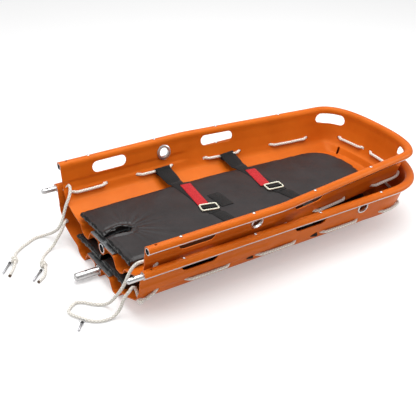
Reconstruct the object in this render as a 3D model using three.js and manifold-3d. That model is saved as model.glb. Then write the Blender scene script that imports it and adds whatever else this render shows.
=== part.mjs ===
// Two-part basket stretcher, stored nested: the upper (foot) half lies inside the lower (head) half.
// Millimetres, +Z up. X runs from the open split ends (-X) to the rounded ends (+X), -Y is the near side.
// Each half is built in its own frame: x = 0 at its split end, z = 0 at the centre line of its rim tube.
import * as THREE from 'three';
import { mergeVertices } from 'three/addons/utils/BufferGeometryUtils.js';
import Module from 'manifold-3d';

const wasm = await Module();
wasm.setup();

// ---- driving dimensions ----
const HALF_WIDTH = 300;        // centre line of the rim tube to the middle plane
const RIM_R = 12;              // rim tube outer radius
const GAP = 0.3;               // running gap between touching pieces
const SHEET = 3.5;             // moulded shell thickness
const BORE_R = 9.3;            // bore of the rim tube's open end
const SPIGOT_R = 9;            // rim spigot radius
const SPIGOT_OUT = 50;         // how far a rim spigot stands out of the split end
const KEEL_R = 17;             // keel tube outer radius
const KEEL_BORE_R = 13.3;
const KEEL_SPIGOT_R = 13;
const KEEL_SPIGOT_OUT = 80;
const SPIGOT_IN = 70;          // length of a spigot inside its tube
const PIN_HOLE_R = 4.6;
const PIN_HOLE_X = 27;         // pin hole, from the split end
const KEEL_PIN_X = 42;
const RIM_Z = 175;             // rim centre line above the ground, lower half
const NEST_X = 16;             // the upper half's shift along X in the nest
const NEST_Z = 76;             // and its lift
const KEEL_Z = -154;           // keel tube centre line, in a half's frame
const BASE_HALF_WIDTH = 242;   // foot of the side wall
const BASE_INSET = HALF_WIDTH - BASE_HALF_WIDTH;
const FLOOR_Z = -139;          // underside of the raised middle floor
const PLATE_Z = -135.2;        // underside of the joint plate
const PAD_Z = -131.6;          // underside of the mattress
const PAD_T = 24;
const PAD_HALF_WIDTH = 178;
const PAD_TAPER_FROM = 520;
const PAD_TOP = PAD_Z + PAD_T;
const WEB_T = 2;               // webbing thickness
const WEB_Z = PAD_TOP + 1;     // underside of a strap lying on the mattress
const WEB_W = 54;
const RED_W = 38;
const LOOSE_W = 47;
const ANCHOR = { inset: 50, z: -93 };   // where the straps' bands start, by the grab line
const RED_Z = WEB_Z + WEB_T + 0.4;
const BUCKLE = { length: 60, width: 44, thickness: 5, bar: 6 };
const BUCKLE_Z = RED_Z + 1.2;  // lets its bar turn clear of the webbing
const BUCKLE_CLEAR = 1.5;      // from its far bar to the red webbing's end
const ROPE_R = 4.8;

// plan of each rim: straight sides, then an end curve x = from + reach sin^(2/n), y = half cos^(2/n);
// the plan of the mattress: its half width at the corners, where they begin, and its end;
// and the stations its faceted surfaces are built on, as distances along the straight sides
const lowerPlan = {
  from: 955, reach: 205, half: 300, power: 2.3, taperFrom: 955,
  pad: { narrow: 170, cornerX: 930, end: 1040 },
  stations: [0, 300, 600, 825, 880, 935],
};
const upperPlan = {
  from: 1020, reach: 115, half: 235, power: 2.6, taperFrom: 470,
  pad: { narrow: 150, cornerX: 902, end: 1012 },
  stations: [0, 240, 440, 500, 700, 890, 945, 1000],
};
const END_STEPS = 7;           // and on a quarter of the end curve

// the side wall's outer face: inset from the rim tube's centre line, and height
const WALL = [[13, -14], [20, -50], [30, -84], [38, -104], [47, -114], [BASE_INSET, -118]];
// the floor's underside: distance from the middle plane, height in the open part, height at the closed end
const FLOOR = [
  [200, -135, -137], [152, -146, -141], [144, -165, -142], [125, -175, -143], [98, -175, -144],
  [86, -155, -144], [78, -141, -145], [40, FLOOR_Z, -146], [22, FLOOR_Z - 0.5, -146], [20.8, -159.6, -146],
  [15.2, -169.2, -147], [5.6, -174.8, -147], [0, -174.8, -147],
];
const CHANNEL_HALF = 40;       // the keel's channel keeps its width where the floor narrows
const FADE = 110;              // length over which the ridges sink into the closed end's plain floor
const FADE_END = 20;           // where they are gone, before the end curve

// handle holes and grommets, by distance from the split end
const HANDLE = { length: 128, height: 40, z: -24 };
const CORNER_HANDLE = { length: 110, x: 1072, y: 186, yaw: -0.9 };   // on the upper half's rounded corner
const HEAD_HANDLE_Y = 95;      // the lower half's end wall has one each side of the middle
const THROUGH = 140;           // how deep a hole's cutter is, unless something lies close behind
// the grab line is laced through holes at the wall's crease: inside the basket from the first hole to the
// second, outside to the third, and so on; the holes by distance along the rim from each split end
const LACE = { length: 28, height: 12.6, z: -86, slack: 3, inside: 41.8, within: 32.3, outside: 24.9 };
const LACE_STEP = 13;          // from a hole's middle to where the line lies straight again
const LACE_PIECE = 40;         // longest straight piece of its tube
const upperLace = {
  far: [30, 150, 276, 409, 550, 689, 825, 980, 1163, 1288],
  near: [66, 138, 282, 387, 517, 648, 788, 928, 1119, 1300],
};
const lowerLace = {
  far: [60, 160, 300, 420, 560, 690, 830, 950, 1150, 1334],
  near: [60, 164, 312, 421, 568, 681, 831, 940, 1067, 1334],
};
// a drain slot through the floor's shoulder at the closed end: along and across as shares of the end curve
const DRAIN = { length: 22, height: 9, turn: 0.51, along: 0.36, across: 0.49 };
const upperHandles = [176, 603];
const lowerHandles = [201, 620];
// where a loose rope comes through the wall by the split end
const upperRopeHoles = { far: 20, near: 40, z: -64, radius: 6.2 };
const lowerRopeHoles = { far: 10, near: 10, z: -106, radius: 6.2 };
// and the grab line's end beside it: [x from its first hole, inset, z]
const upperLaceEnd = [[-25, 22.6, -80], [-13, 24.7, -85.5]];
const lowerLaceEnd = [[-34, 31.4, -105.5], [-24, 28.8, -97.5], [-13, 26.6, -91]];
// a grommet's radii, then half its grip, its flanges' thickness and its lean with the wall
const GROMMET = {
  bore: 17, neck: 20, hole: 20.6, inside: 27, outside: 23.5,
  grip: 3.2, flange: 2, lean: 0.19,
};
const GROMMET_Z = -34;
const GROMMET_INSET = 17 + SHEET / 2;   // from the rim's centre line to the middle of the wall there
const upperGrommetX = 387;
const lowerGrommetX = 840;
const lowerRivetX = [134, 385, 638, 898];
const upperRivetX = [108, 360, 606, 868];

// ---- materials ----
const material = (color, roughness, metalness) =>
  new THREE.MeshStandardMaterial({ color, roughness, metalness });
const orange = material(0xd9641c, 0.4, 0);
const metal = material(0xc4c6c8, 0.3, 1);
const plateGrey = material(0x96989b, 0.5, 0.8);
const vinyl = material(0x4a4648, 0.6, 0);
const blackWeb = material(0x232121, 0.9, 0);
const redWeb = material(0xdf2c36, 0.8, 0);
const enamel = material(0xdcdcc4, 0.35, 0.6);
const rope = material(0xe2dfd2, 0.9, 0);

// ---- mesh helpers ----
function closedGeometry(points, triangles) {
  const g = new THREE.BufferGeometry();
  g.setAttribute('position', new THREE.Float32BufferAttribute(points.flat(), 3));
  g.setIndex(triangles.flat());
  return welded(g);
}

// merges equal points and drops the triangles that collapse
function welded(geometry) {
  const bare = geometry.clone();
  bare.deleteAttribute('normal');
  bare.deleteAttribute('uv');
  const g = mergeVertices(bare, 1e-3);
  const idx = g.index.array;
  const kept = [];
  for (let i = 0; i < idx.length; i += 3) {
    const [a, b, c] = [idx[i], idx[i + 1], idx[i + 2]];
    if (a !== b && b !== c && c !== a) kept.push(a, b, c);
  }
  g.setIndex(kept);
  return g;
}

function volumeOf(g) {
  const p = g.attributes.position;
  const [a, b, c] = [new THREE.Vector3(), new THREE.Vector3(), new THREE.Vector3()];
  let v = 0;
  for (let i = 0; i < g.index.count; i += 3) {
    a.fromBufferAttribute(p, g.index.getX(i));
    b.fromBufferAttribute(p, g.index.getX(i + 1));
    c.fromBufferAttribute(p, g.index.getX(i + 2));
    v += a.dot(b.cross(c)) / 6;
  }
  return v;
}

function facingOut(g) {
  if (volumeOf(g) < 0) g.setIndex(Array.from(g.index.array).reverse());
  return g;
}

function solid(geometry) {
  const g = facingOut(welded(geometry));
  return new wasm.Manifold(new wasm.Mesh({
    numProp: 3, vertProperties: Float32Array.from(g.attributes.position.array),
    triVerts: Uint32Array.from(g.index.array),
  }));
}

function geometryOf(manifold) {
  const m = manifold.getMesh();
  const g = new THREE.BufferGeometry();
  g.setAttribute('position', new THREE.Float32BufferAttribute(m.vertProperties, 3));
  g.setIndex(Array.from(m.triVerts));
  return g;
}

const cut = (geometry, cutters) =>
  geometryOf(cutters.reduce((body, tool) => body.subtract(solid(tool)), solid(geometry)));

// skins a closed tube over a list of rings of equal length, with flat ends
function loft(rings) {
  const n = rings[0].length;
  const points = rings.flat();
  const triangles = [];
  for (let r = 0; r + 1 < rings.length; r++) {
    for (let i = 0; i < n; i++) {
      const [a, b] = [r * n + i, r * n + (i + 1) % n];
      triangles.push([a, b, b + n], [a, b + n, a + n]);
    }
  }
  const last = (rings.length - 1) * n;
  const cap = THREE.ShapeUtils.triangulateShape(flatRing(rings[0]), []);
  for (const [a, b, c] of cap) triangles.push([a, c, b], [last + a, last + b, last + c]);
  return facingOut(closedGeometry(points, triangles));
}

// a ring of 3-D points in its own plane, for triangulating its cap
function flatRing(ring) {
  const o = new THREE.Vector3(...ring[0]);
  const u = new THREE.Vector3(...ring[1]).sub(o).normalize();
  const normal = new THREE.Vector3();
  for (let i = 1; i + 1 < ring.length; i++) {
    const a = new THREE.Vector3(...ring[i]).sub(o);
    normal.add(a.cross(new THREE.Vector3(...ring[i + 1]).sub(o)));
  }
  const v = normal.normalize().cross(u);
  return ring.map(p => {
    const d = new THREE.Vector3(...p).sub(o);
    return new THREE.Vector2(d.dot(u), d.dot(v));
  });
}

// a round or flat section swept along points, kept upright
function sweep(points, section) {
  const path = points.map(p => new THREE.Vector3(...p));
  const rings = path.map((p, i) => {
    const before = path[Math.max(i - 1, 0)];
    const after = path[Math.min(i + 1, path.length - 1)];
    const ahead = after.clone().sub(before).normalize();
    const reference = Math.abs(ahead.z) > 0.95 ? new THREE.Vector3(1, 0, 0) : new THREE.Vector3(0, 0, 1);
    const side = ahead.clone().cross(reference).normalize();
    const up = side.clone().cross(ahead);
    return section.map(([a, b]) => p.clone().addScaledVector(side, a).addScaledVector(up, b).toArray());
  });
  return loft(rings);
}

const circle = (radius, sides) => Array.from({ length: sides }, (_, i) => {
  const a = (2 * Math.PI * (i + 0.5)) / sides;
  return [radius * Math.cos(a), radius * Math.sin(a)];
});

function rodAlongX(radius, x0, x1, y, z, sides = 16) {
  const g = new THREE.CylinderGeometry(radius, radius, x1 - x0, sides);
  return g.rotateZ(Math.PI / 2).translate((x0 + x1) / 2, y, z);
}

function drillDown(radius, x, y, z0, z1) {
  return new THREE.CylinderGeometry(radius, radius, z1 - z0, 12)
    .rotateX(Math.PI / 2).translate(x, y, (z0 + z1) / 2);
}

function boxFrom(x0, x1, y0, y1, z0, z1) {
  return new THREE.BoxGeometry(x1 - x0, y1 - y0, z1 - z0)
    .translate((x0 + x1) / 2, (y0 + y1) / 2, (z0 + z1) / 2);
}

// ---- plan of a half ----
function halfWidthAt(plan, x) {
  const over = Math.max(0, x - plan.taperFrom);
  const slope = (HALF_WIDTH - plan.half) / Math.max(1, plan.from - plan.taperFrom);
  return HALF_WIDTH - slope * over;
}

function endPoint(plan, angle) {
  const e = 2 / plan.power;
  return new THREE.Vector2(
    plan.from + plan.reach * Math.sin(angle) ** e,
    plan.half * Math.max(0, Math.cos(angle)) ** e,
  );
}

// stations along the far side (+Y) of the rim, from the split end to the middle of the closed end:
// the point on the tube's centre line, the inward normal, the point of the middle line it belongs to,
// and how much of the floor's ridges is left there
function stationsOf(plan) {
  const points = plan.stations.map(x => new THREE.Vector2(x, halfWidthAt(plan, x)));
  for (let i = 0; i <= END_STEPS; i++) points.push(endPoint(plan, (Math.PI / 2) * (i / END_STEPS)));
  points[points.length - 1].y = 0;
  return points.map((p, i) => {
    const before = points[Math.max(i - 1, 0)];
    const after = points[Math.min(i + 1, points.length - 1)];
    const ahead = after.clone().sub(before).normalize();
    let inward = new THREE.Vector2(ahead.y, -ahead.x);
    if (i === 0) inward = new THREE.Vector2(0, -1);
    if (i === points.length - 1) inward = new THREE.Vector2(-1, 0);
    const middleX = Math.min(p.x, plan.from);
    const ridges = THREE.MathUtils.clamp((plan.from - FADE_END - p.x) / FADE, 0, 1);
    return { p, inward, middleX, ridges };
  });
}

// ---- the shell's section: the outer face, then the inner face one sheet away ----
function outerSection(ridges) {
  const lip = [15, 45, 75, 105, 135, 165, 180].map(deg => {
    const a = THREE.MathUtils.degToRad(deg);
    const r = RIM_R + GAP;
    return [HALF_WIDTH + r * Math.cos(a), r * Math.sin(a)];
  });
  const wall = WALL.map(([inset, z]) => [HALF_WIDTH - inset, z]);
  const floor = FLOOR.map(([y, open, closed]) => [y, closed + (open - closed) * ridges]);
  return [...lip, ...wall, ...floor];
}

function innerSection(outer) {
  const dir = (a, b) => new THREE.Vector2(b[0] - a[0], b[1] - a[1]).normalize();
  return outer.map((q, i) => {
    const d0 = i > 0 ? dir(outer[i - 1], q) : dir(q, outer[1]);
    const d1 = i + 1 < outer.length ? dir(q, outer[i + 1]) : new THREE.Vector2(-1, 0);
    const normal = new THREE.Vector2(d0.y + d1.y, -d0.x - d1.x).normalize();
    const mitre = Math.min(1.6, 1 / Math.max(0.5, normal.dot(new THREE.Vector2(d0.y, -d0.x))));
    const y = q[0] + normal.x * SHEET * mitre;
    return [i + 1 < outer.length ? y : 0, q[1] + normal.y * SHEET * mitre];
  });
}

const LIP_AND_WALL = 7 + WALL.length;

function placeSection(plan, section, station, side) {
  const { p, inward, middleX } = station;
  return section.map(([y, z], i) => {
    if (i < LIP_AND_WALL) {
      const inset = HALF_WIDTH - y;
      return [p.x + inward.x * inset, side * (p.y + inward.y * inset), z];
    }
    const share = y / BASE_HALF_WIDTH;
    const base = p.clone().addScaledVector(inward, BASE_INSET);
    const across = y <= CHANNEL_HALF && p.x < plan.from ? y : base.y * share;
    return [middleX + (base.x - middleX) * share, side * across, z];
  });
}

function shellGeometry(plan) {
  const stations = stationsOf(plan);
  const around = [
    ...stations.map(s => [s, 1]),
    ...stations.slice(0, -1).reverse().map(s => [s, -1]),
  ];
  const points = [];
  const triangles = [];
  const count = LIP_AND_WALL + FLOOR.length;
  for (const [station, side] of around) {
    const outer = outerSection(station.ridges);
    points.push(...placeSection(plan, outer, station, side));
    points.push(...placeSection(plan, innerSection(outer), station, side));
  }
  const quad = (a, b, c, d) => triangles.push([a, b, c], [a, c, d]);
  for (let s = 0; s + 1 < around.length; s++) {
    const [here, next] = [s * 2 * count, (s + 1) * 2 * count];
    for (let i = 0; i + 1 < count; i++) {
      quad(here + i, here + i + 1, next + i + 1, next + i);
      quad(here + count + i, next + count + i, next + count + i + 1, here + count + i + 1);
    }
    quad(here, next, next + count, here + count);
  }
  const lastStation = (around.length - 1) * 2 * count;
  for (let i = 0; i + 1 < count; i++) {
    quad(i, i + count, i + count + 1, i + 1);
    const e = lastStation + i;
    quad(e, e + 1, e + count + 1, e + count);
  }
  return facingOut(closedGeometry(points, triangles));
}

// ---- cutters that look square at the side wall ----
function wallFrame(plan, x, side) {
  const width = halfWidthAt(plan, x);
  const slope = (halfWidthAt(plan, x + 1) - width);
  return { x, y: side * width, yaw: side * Math.atan(slope) };
}

function stadium(length, height) {
  const r = height / 2;
  const straight = length / 2 - r;
  const shape = new THREE.Shape();
  shape.moveTo(-straight, -r);
  shape.lineTo(straight, -r);
  shape.absarc(straight, 0, r, -Math.PI / 2, Math.PI / 2, false);
  shape.lineTo(-straight, r);
  shape.absarc(-straight, 0, r, Math.PI / 2, (3 * Math.PI) / 2, false);
  return shape;
}

// a stadium through the wall at a plan point, its length turned by yaw about Z
function wallSlot({ length, height, z }, at, depth = THROUGH) {
  const extrusion = { depth, bevelEnabled: false, curveSegments: 3 };
  return new THREE.ExtrudeGeometry(stadium(length, height), extrusion)
    .translate(0, 0, -depth / 2).rotateX(Math.PI / 2).rotateZ(at.yaw).translate(at.x, at.y, z);
}

function roundHole(radius, at, z) {
  return new THREE.CylinderGeometry(radius, radius, THROUGH, 16).rotateZ(at.yaw).translate(at.x, at.y, z);
}

const sides = { far: 1, near: -1 };

// the rim's stations with their distance from the split end
function measuredRim(plan) {
  let run = 0;
  return stationsOf(plan).map((station, i, all) => {
    if (i > 0) run += station.p.distanceTo(all[i - 1].p);
    return { ...station, run };
  });
}

// the point some distance along the rim and inset from it, and the wall's direction there
function besideRim(rim, distance, side, inset) {
  const next = Math.max(1, rim.findIndex(station => station.run >= distance));
  const [a, b] = [rim[next - 1], rim[next]];
  const share = (distance - a.run) / (b.run - a.run);
  const from = a.p.clone().addScaledVector(a.inward, inset);
  const to = b.p.clone().addScaledVector(b.inward, inset);
  const point = from.clone().lerp(to, share);
  return { x: point.x, y: side * point.y, yaw: side * Math.atan2(to.y - from.y, to.x - from.x) };
}

function commonCutters(plan, lace, handles) {
  const tools = [];
  const rim = measuredRim(plan);
  for (const [name, side] of Object.entries(sides)) {
    for (const d of lace[name]) tools.push(wallSlot(LACE, besideRim(rim, d, side, LACE.within), 30));
    for (const x of handles) tools.push(wallSlot(HANDLE, wallFrame(plan, x, side), 90));
    tools.push(drillDown(PIN_HOLE_R, PIN_HOLE_X, side * HALF_WIDTH, 2, 30));
  }
  return tools;
}

// ---- the grab line ----
// one stretch between two holes, beside the wall and a little slack, with a point at each station it passes
function laceStretch(rim, side, from, to, inset) {
  const [start, end] = [from + LACE_STEP, to - LACE_STEP];
  const pieces = Math.ceil((end - start) / LACE_PIECE);
  const even = Array.from({ length: pieces + 1 }, (_, i) => start + ((end - start) * i) / pieces);
  const passed = rim.map(station => station.run).filter(run => run > start && run < end);
  const distances = [...even, ...passed].sort((a, b) => a - b);
  const apart = distances.filter((d, i, all) => i === 0 || d - all[i - 1] > 0.5);
  return apart.map(d => {
    const { x, y } = besideRim(rim, d, side, inset);
    return [x, y, LACE.z - LACE.slack * Math.sin((Math.PI * (d - start)) / (end - start))];
  });
}

function laceSide(plan, holes, side, ending) {
  const rim = measuredRim(plan);
  const points = ending.map(([x, inset, z]) => [holes[0] + x, side * (HALF_WIDTH - inset), z]);
  holes.forEach((hole, i) => {
    const { x, y } = besideRim(rim, hole, side, LACE.within);
    points.push([x, y, LACE.z]);
    if (i + 1 === holes.length) return;
    points.push(...laceStretch(rim, side, hole, holes[i + 1], i % 2 === 0 ? LACE.inside : LACE.outside));
  });
  return points;
}

function grabLine(plan, lace, ending) {
  const far = laceSide(plan, lace.far, 1, ending);
  const near = laceSide(plan, lace.near, -1, ending).reverse();
  const [y0, y1] = [far[far.length - 1][1] - LACE_STEP, near[0][1] + LACE_STEP];
  const endX = plan.from + plan.reach - LACE.outside;
  return sweep([...far, [endX, y0, LACE.z], [endX, y1, LACE.z], ...near], circle(ROPE_R, 8));
}

// ---- pieces of one half, in its own frame ----
function rimTube(plan) {
  const stations = stationsOf(plan).map(s => s.p);
  const line = [...stations, ...stations.slice(0, -1).reverse().map(p => new THREE.Vector2(p.x, -p.y))];
  const tube = sweep(line.map(p => [p.x, p.y, 0]), circle(RIM_R, 12));
  const bores = [1, -1].map(side => rodAlongX(BORE_R, -5, SPIGOT_IN + 5, side * HALF_WIDTH, 0, 12));
  const holes = [1, -1].map(side => drillDown(PIN_HOLE_R, PIN_HOLE_X, side * HALF_WIDTH, -15, 15));
  return cut(tube, [...bores, ...holes]);
}

function keelTube(plan) {
  return cut(rodAlongX(KEEL_R, 0, plan.from - FADE_END - FADE - 5, 0, KEEL_Z), [
    rodAlongX(KEEL_BORE_R, -5, SPIGOT_IN + 15, 0, KEEL_Z),
    drillDown(PIN_HOLE_R, KEEL_PIN_X, 0, KEEL_Z, KEEL_Z + 30),
  ]);
}

function jointPlate() {
  const plate = boxFrom(0, 105, -76, 76, PLATE_Z, PLATE_Z + 3);
  return cut(plate, [drillDown(PIN_HOLE_R, KEEL_PIN_X, 0, PLATE_Z - 5, PLATE_Z + 8)]);
}

function padHalfWidthAt(plan, x) {
  const along = THREE.MathUtils.clamp((x - PAD_TAPER_FROM) / (plan.pad.cornerX - PAD_TAPER_FROM), 0, 1);
  return PAD_HALF_WIDTH + (plan.pad.narrow - PAD_HALF_WIDTH) * along;
}

function mattress({ pad: { narrow, cornerX, end } }) {
  const shape = new THREE.Shape();
  shape.moveTo(2, -PAD_HALF_WIDTH);
  shape.lineTo(PAD_TAPER_FROM, -PAD_HALF_WIDTH);
  shape.lineTo(cornerX, -narrow);
  shape.quadraticCurveTo(end, -narrow + 10, end, 0);
  shape.quadraticCurveTo(end, narrow - 10, cornerX, narrow);
  shape.lineTo(PAD_TAPER_FROM, PAD_HALF_WIDTH);
  shape.lineTo(2, PAD_HALF_WIDTH);
  shape.lineTo(2, 11);
  shape.lineTo(88, 9);
  shape.absarc(88, 0, 9, Math.PI / 2, -Math.PI / 2, true);
  shape.lineTo(2, -11);
  return new THREE.ExtrudeGeometry(shape, { depth: PAD_T, bevelEnabled: false, curveSegments: 5 })
    .translate(0, 0, PAD_Z);
}

function spigot(radius, out, inside, y, z, holeX, sideCount) {
  const profile = [[0, 0], [radius - 2.5, 0], [radius, 3], [radius, out + inside], [0, out + inside]]
    .map(([r, h]) => new THREE.Vector2(r, h));
  const rod = new THREE.LatheGeometry(profile, sideCount).rotateZ(-Math.PI / 2).translate(-out, y, z);
  return cut(rod, [drillDown(PIN_HOLE_R, holeX, y, z - 30, z + 30)]);
}

// a strap's flat band: centre points and one width, swept along its length
function band(points, width) {
  const rings = points.map(([x, y, z], i) => {
    const a = points[Math.max(i - 1, 0)];
    const b = points[Math.min(i + 1, points.length - 1)];
    const ahead = new THREE.Vector3(0, b[1] - a[1], b[2] - a[2]).normalize();
    const up = new THREE.Vector3(0, -ahead.z, ahead.y).multiplyScalar(ahead.y < 0 ? -WEB_T : WEB_T);
    const low = [[x - width / 2, y, z], [x + width / 2, y, z]];
    return [...low, ...low.slice().reverse().map(p => [p[0], p[1] + up.y, p[2] + up.z])];
  });
  return loft(rings);
}

// the webbing from the grab line straight down to the mattress and on to y = to;
// its middle passes the wall, the mattress's edge and the middle plane at three values of x
function anchorBand(plan, side, [xAtWall, xAtEdge, xAtMiddle], to) {
  const start = halfWidthAt(plan, xAtWall) - ANCHOR.inset;
  const pad = padHalfWidthAt(plan, xAtWall);
  const profile = [[start, ANCHOR.z], [pad + 3, WEB_Z], [to, WEB_Z]];
  return band(profile.map(([y, z]) => {
    const x = y > pad
      ? xAtEdge + ((xAtWall - xAtEdge) * (y - pad)) / (start - pad)
      : xAtMiddle + ((xAtEdge - xAtMiddle) * y) / pad;
    return [x, side * y, z];
  }), WEB_W);
}


function buckle(x, y, turn) {
  const { length, width, thickness, bar } = BUCKLE;
  const [halfLength, halfWidth] = [length / 2, width / 2];
  const outer = boxFrom(-halfLength, halfLength, -halfWidth, halfWidth, 0, thickness);
  const [insideX, insideY] = [halfLength - bar, halfWidth - bar];
  const hole = boxFrom(-insideX, insideX, -insideY, insideY, -1, 2 * thickness);
  return cut(outer, [hole]).rotateZ(turn).translate(x, y, BUCKLE_Z);
}

function grommet(at, z) {
  const { bore, neck, inside, outside, grip } = GROMMET;
  const [low, high] = at.y > 0 ? [inside, outside] : [outside, inside];
  const face = grip + GROMMET.flange;
  const profile = [
    [bore, -face], [low, -face], [low, -grip], [neck, -grip], [neck, grip],
    [high, grip], [high, face], [bore, face], [bore, -face],
  ].map(([r, h]) => new THREE.Vector2(r, h));
  const lean = -Math.sign(at.y) * GROMMET.lean;
  return new THREE.LatheGeometry(profile, 20).rotateX(lean).rotateZ(at.yaw)
    .translate(at.x, at.y, z);
}

function rivet(x, y) {
  const top = RIM_R + GAP + SHEET + GAP;
  const profile = [[0, 0], [5, 0], [4.2, 1.6], [0, 2.4]].map(([r, h]) => new THREE.Vector2(r, h));
  return new THREE.LatheGeometry(profile, 8).rotateX(Math.PI / 2).translate(x, y, top);
}

// ---- assembly ----
const stretcher = new THREE.Group();
const lower = new THREE.Group();
const upper = new THREE.Group();
const LIP_START = THREE.MathUtils.degToRad(15);
const lipReach = (RIM_R + GAP) * Math.cos(LIP_START) + SHEET * Math.cos(2 * LIP_START);
const CENTRE_X = (lowerPlan.from + lowerPlan.reach + lipReach - KEEL_SPIGOT_OUT) / 2;
lower.position.set(-CENTRE_X, 0, RIM_Z);
upper.position.set(NEST_X - CENTRE_X, 0, RIM_Z + NEST_Z);
stretcher.add(lower, upper);

function add(group, name, geometry, look) {
  const mesh = new THREE.Mesh(geometry, look);
  mesh.name = name;
  group.add(mesh);
}

function addHalf(group, prefix, plan, options) {
  const shellCutters = [...commonCutters(plan, options.lace, options.handles), ...options.cutters];
  for (const side of [1, -1]) {
    shellCutters.push(roundHole(GROMMET.hole, wallFrame(plan, options.grommetX, side), GROMMET_Z));
  }
  add(group, `${prefix}_shell`, cut(shellGeometry(plan), shellCutters), orange);
  add(group, `${prefix}_rim_tube`, rimTube(plan), metal);
  add(group, `${prefix}_keel_tube`, keelTube(plan), metal);
  add(group, `${prefix}_joint_plate`, jointPlate(), plateGrey);
  add(group, `${prefix}_mattress`, mattress(plan), vinyl);
  add(group, `${prefix}_grab_line`, grabLine(plan, options.lace, options.laceEnd), rope);
  for (const [name, side] of Object.entries(sides)) {
    const at = wallFrame(plan, options.grommetX, side);
    at.y -= side * GROMMET_INSET;
    add(group, `${prefix}_grommet_${name}`, grommet(at, GROMMET_Z), metal);
    options.rivetX.forEach((x, i) => {
      add(group, `${prefix}_rivet_${name}_${i + 1}`, rivet(x, side * halfWidthAt(plan, x)), metal);
    });
  }
  options.straps.forEach(({ far, near, middleX, buckleX, buckleY, turn, red }, i) => {
    const strap = `${prefix}_strap_${i + 1}`;
    add(group, `${strap}_far`, anchorBand(plan, 1, [...far, middleX], buckleY - 34), blackWeb);
    add(group, `${strap}_near`, anchorBand(plan, -1, [...near, middleX], 38 - buckleY), blackWeb);
    const frameReach = BUCKLE.width / 2 / Math.cos(turn) + (RED_W / 2) * Math.abs(Math.tan(turn));
    const redEnd = [red.toX, buckleY + frameReach + BUCKLE_CLEAR, RED_Z];
    add(group, `${strap}_red`, band([[red.fromX, red.fromY, RED_Z], redEnd], RED_W), redWeb);
    add(group, `${strap}_buckle`, buckle(buckleX, buckleY, turn), enamel);
  });
}

const cornerHandles = Object.values(sides).map(side => wallSlot(
  { ...HANDLE, length: CORNER_HANDLE.length },
  { x: CORNER_HANDLE.x, y: side * CORNER_HANDLE.y, yaw: side * CORNER_HANDLE.yaw }, 120,
));
const ropeHoles = (plan, holes) => Object.entries(sides).map(
  ([name, side]) => roundHole(holes.radius, wallFrame(plan, holes[name], side), holes.z),
);
const drainHoles = plan => Object.values(sides).map(side => new THREE.ExtrudeGeometry(
  stadium(DRAIN.length, DRAIN.height), { depth: 40, bevelEnabled: false, curveSegments: 3 },
).rotateZ(side * DRAIN.turn).translate(
  plan.from + DRAIN.along * plan.reach, side * DRAIN.across * plan.half, FLOOR_Z - 1,
));
const headHandles = Object.values(sides).map(side => wallSlot(
  HANDLE, { x: lowerPlan.from + lowerPlan.reach, y: side * HEAD_HANDLE_Y, yaw: Math.PI / 2 },
));

// the straps' [x at the wall, x at the mattress's edge]
addHalf(lower, 'lower', lowerPlan, {
  lace: lowerLace, laceEnd: lowerLaceEnd,
  handles: lowerHandles, grommetX: lowerGrommetX, rivetX: lowerRivetX,
  cutters: [...ropeHoles(lowerPlan, lowerRopeHoles), ...headHandles, ...drainHoles(lowerPlan)],
  straps: [
    { far: [362, 380], near: [374, 430], middleX: 416, buckleX: 416, buckleY: -52, turn: -0.1,
      red: { fromX: 424, fromY: 78, toX: 408 } },
    { far: [626, 650], near: [630, 700], middleX: 684, buckleX: 684, buckleY: -52, turn: -0.1,
      red: { fromX: 692, fromY: 78, toX: 676 } },
  ],
});
addHalf(upper, 'upper', upperPlan, {
  lace: upperLace, laceEnd: upperLaceEnd,
  handles: upperHandles, grommetX: upperGrommetX, rivetX: upperRivetX,
  cutters: [...ropeHoles(upperPlan, upperRopeHoles), ...cornerHandles, ...drainHoles(upperPlan)],
  straps: [
    { far: [368, 373], near: [372, 402], middleX: 380, buckleX: 379, buckleY: -30, turn: -0.24,
      red: { fromX: 396, fromY: 150, toX: 373 } },
    { far: [629, 636], near: [640, 682], middleX: 652, buckleX: 650, buckleY: -22, turn: -0.12,
      red: { fromX: 655, fromY: 127, toX: 632 } },
  ],
});
for (const [name, side] of Object.entries(sides)) {
  add(lower, `lower_rim_spigot_${name}`,
    spigot(SPIGOT_R, SPIGOT_OUT, SPIGOT_IN, side * HALF_WIDTH, 0, -30, 12), metal);
}
add(lower, 'lower_keel_spigot',
  spigot(KEEL_SPIGOT_R, KEEL_SPIGOT_OUT, SPIGOT_IN, 0, KEEL_Z, -KEEL_PIN_X, 14), metal);

add(upper, 'upper_strap_1_loose_end',
  band([[443, 45, WEB_Z], [443, -45, WEB_Z]], LOOSE_W), blackWeb);

// ---- lock pins on their ropes: points in the lower half's plan, heights above the ground ----
const ROPE_STEP = 20;

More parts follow.
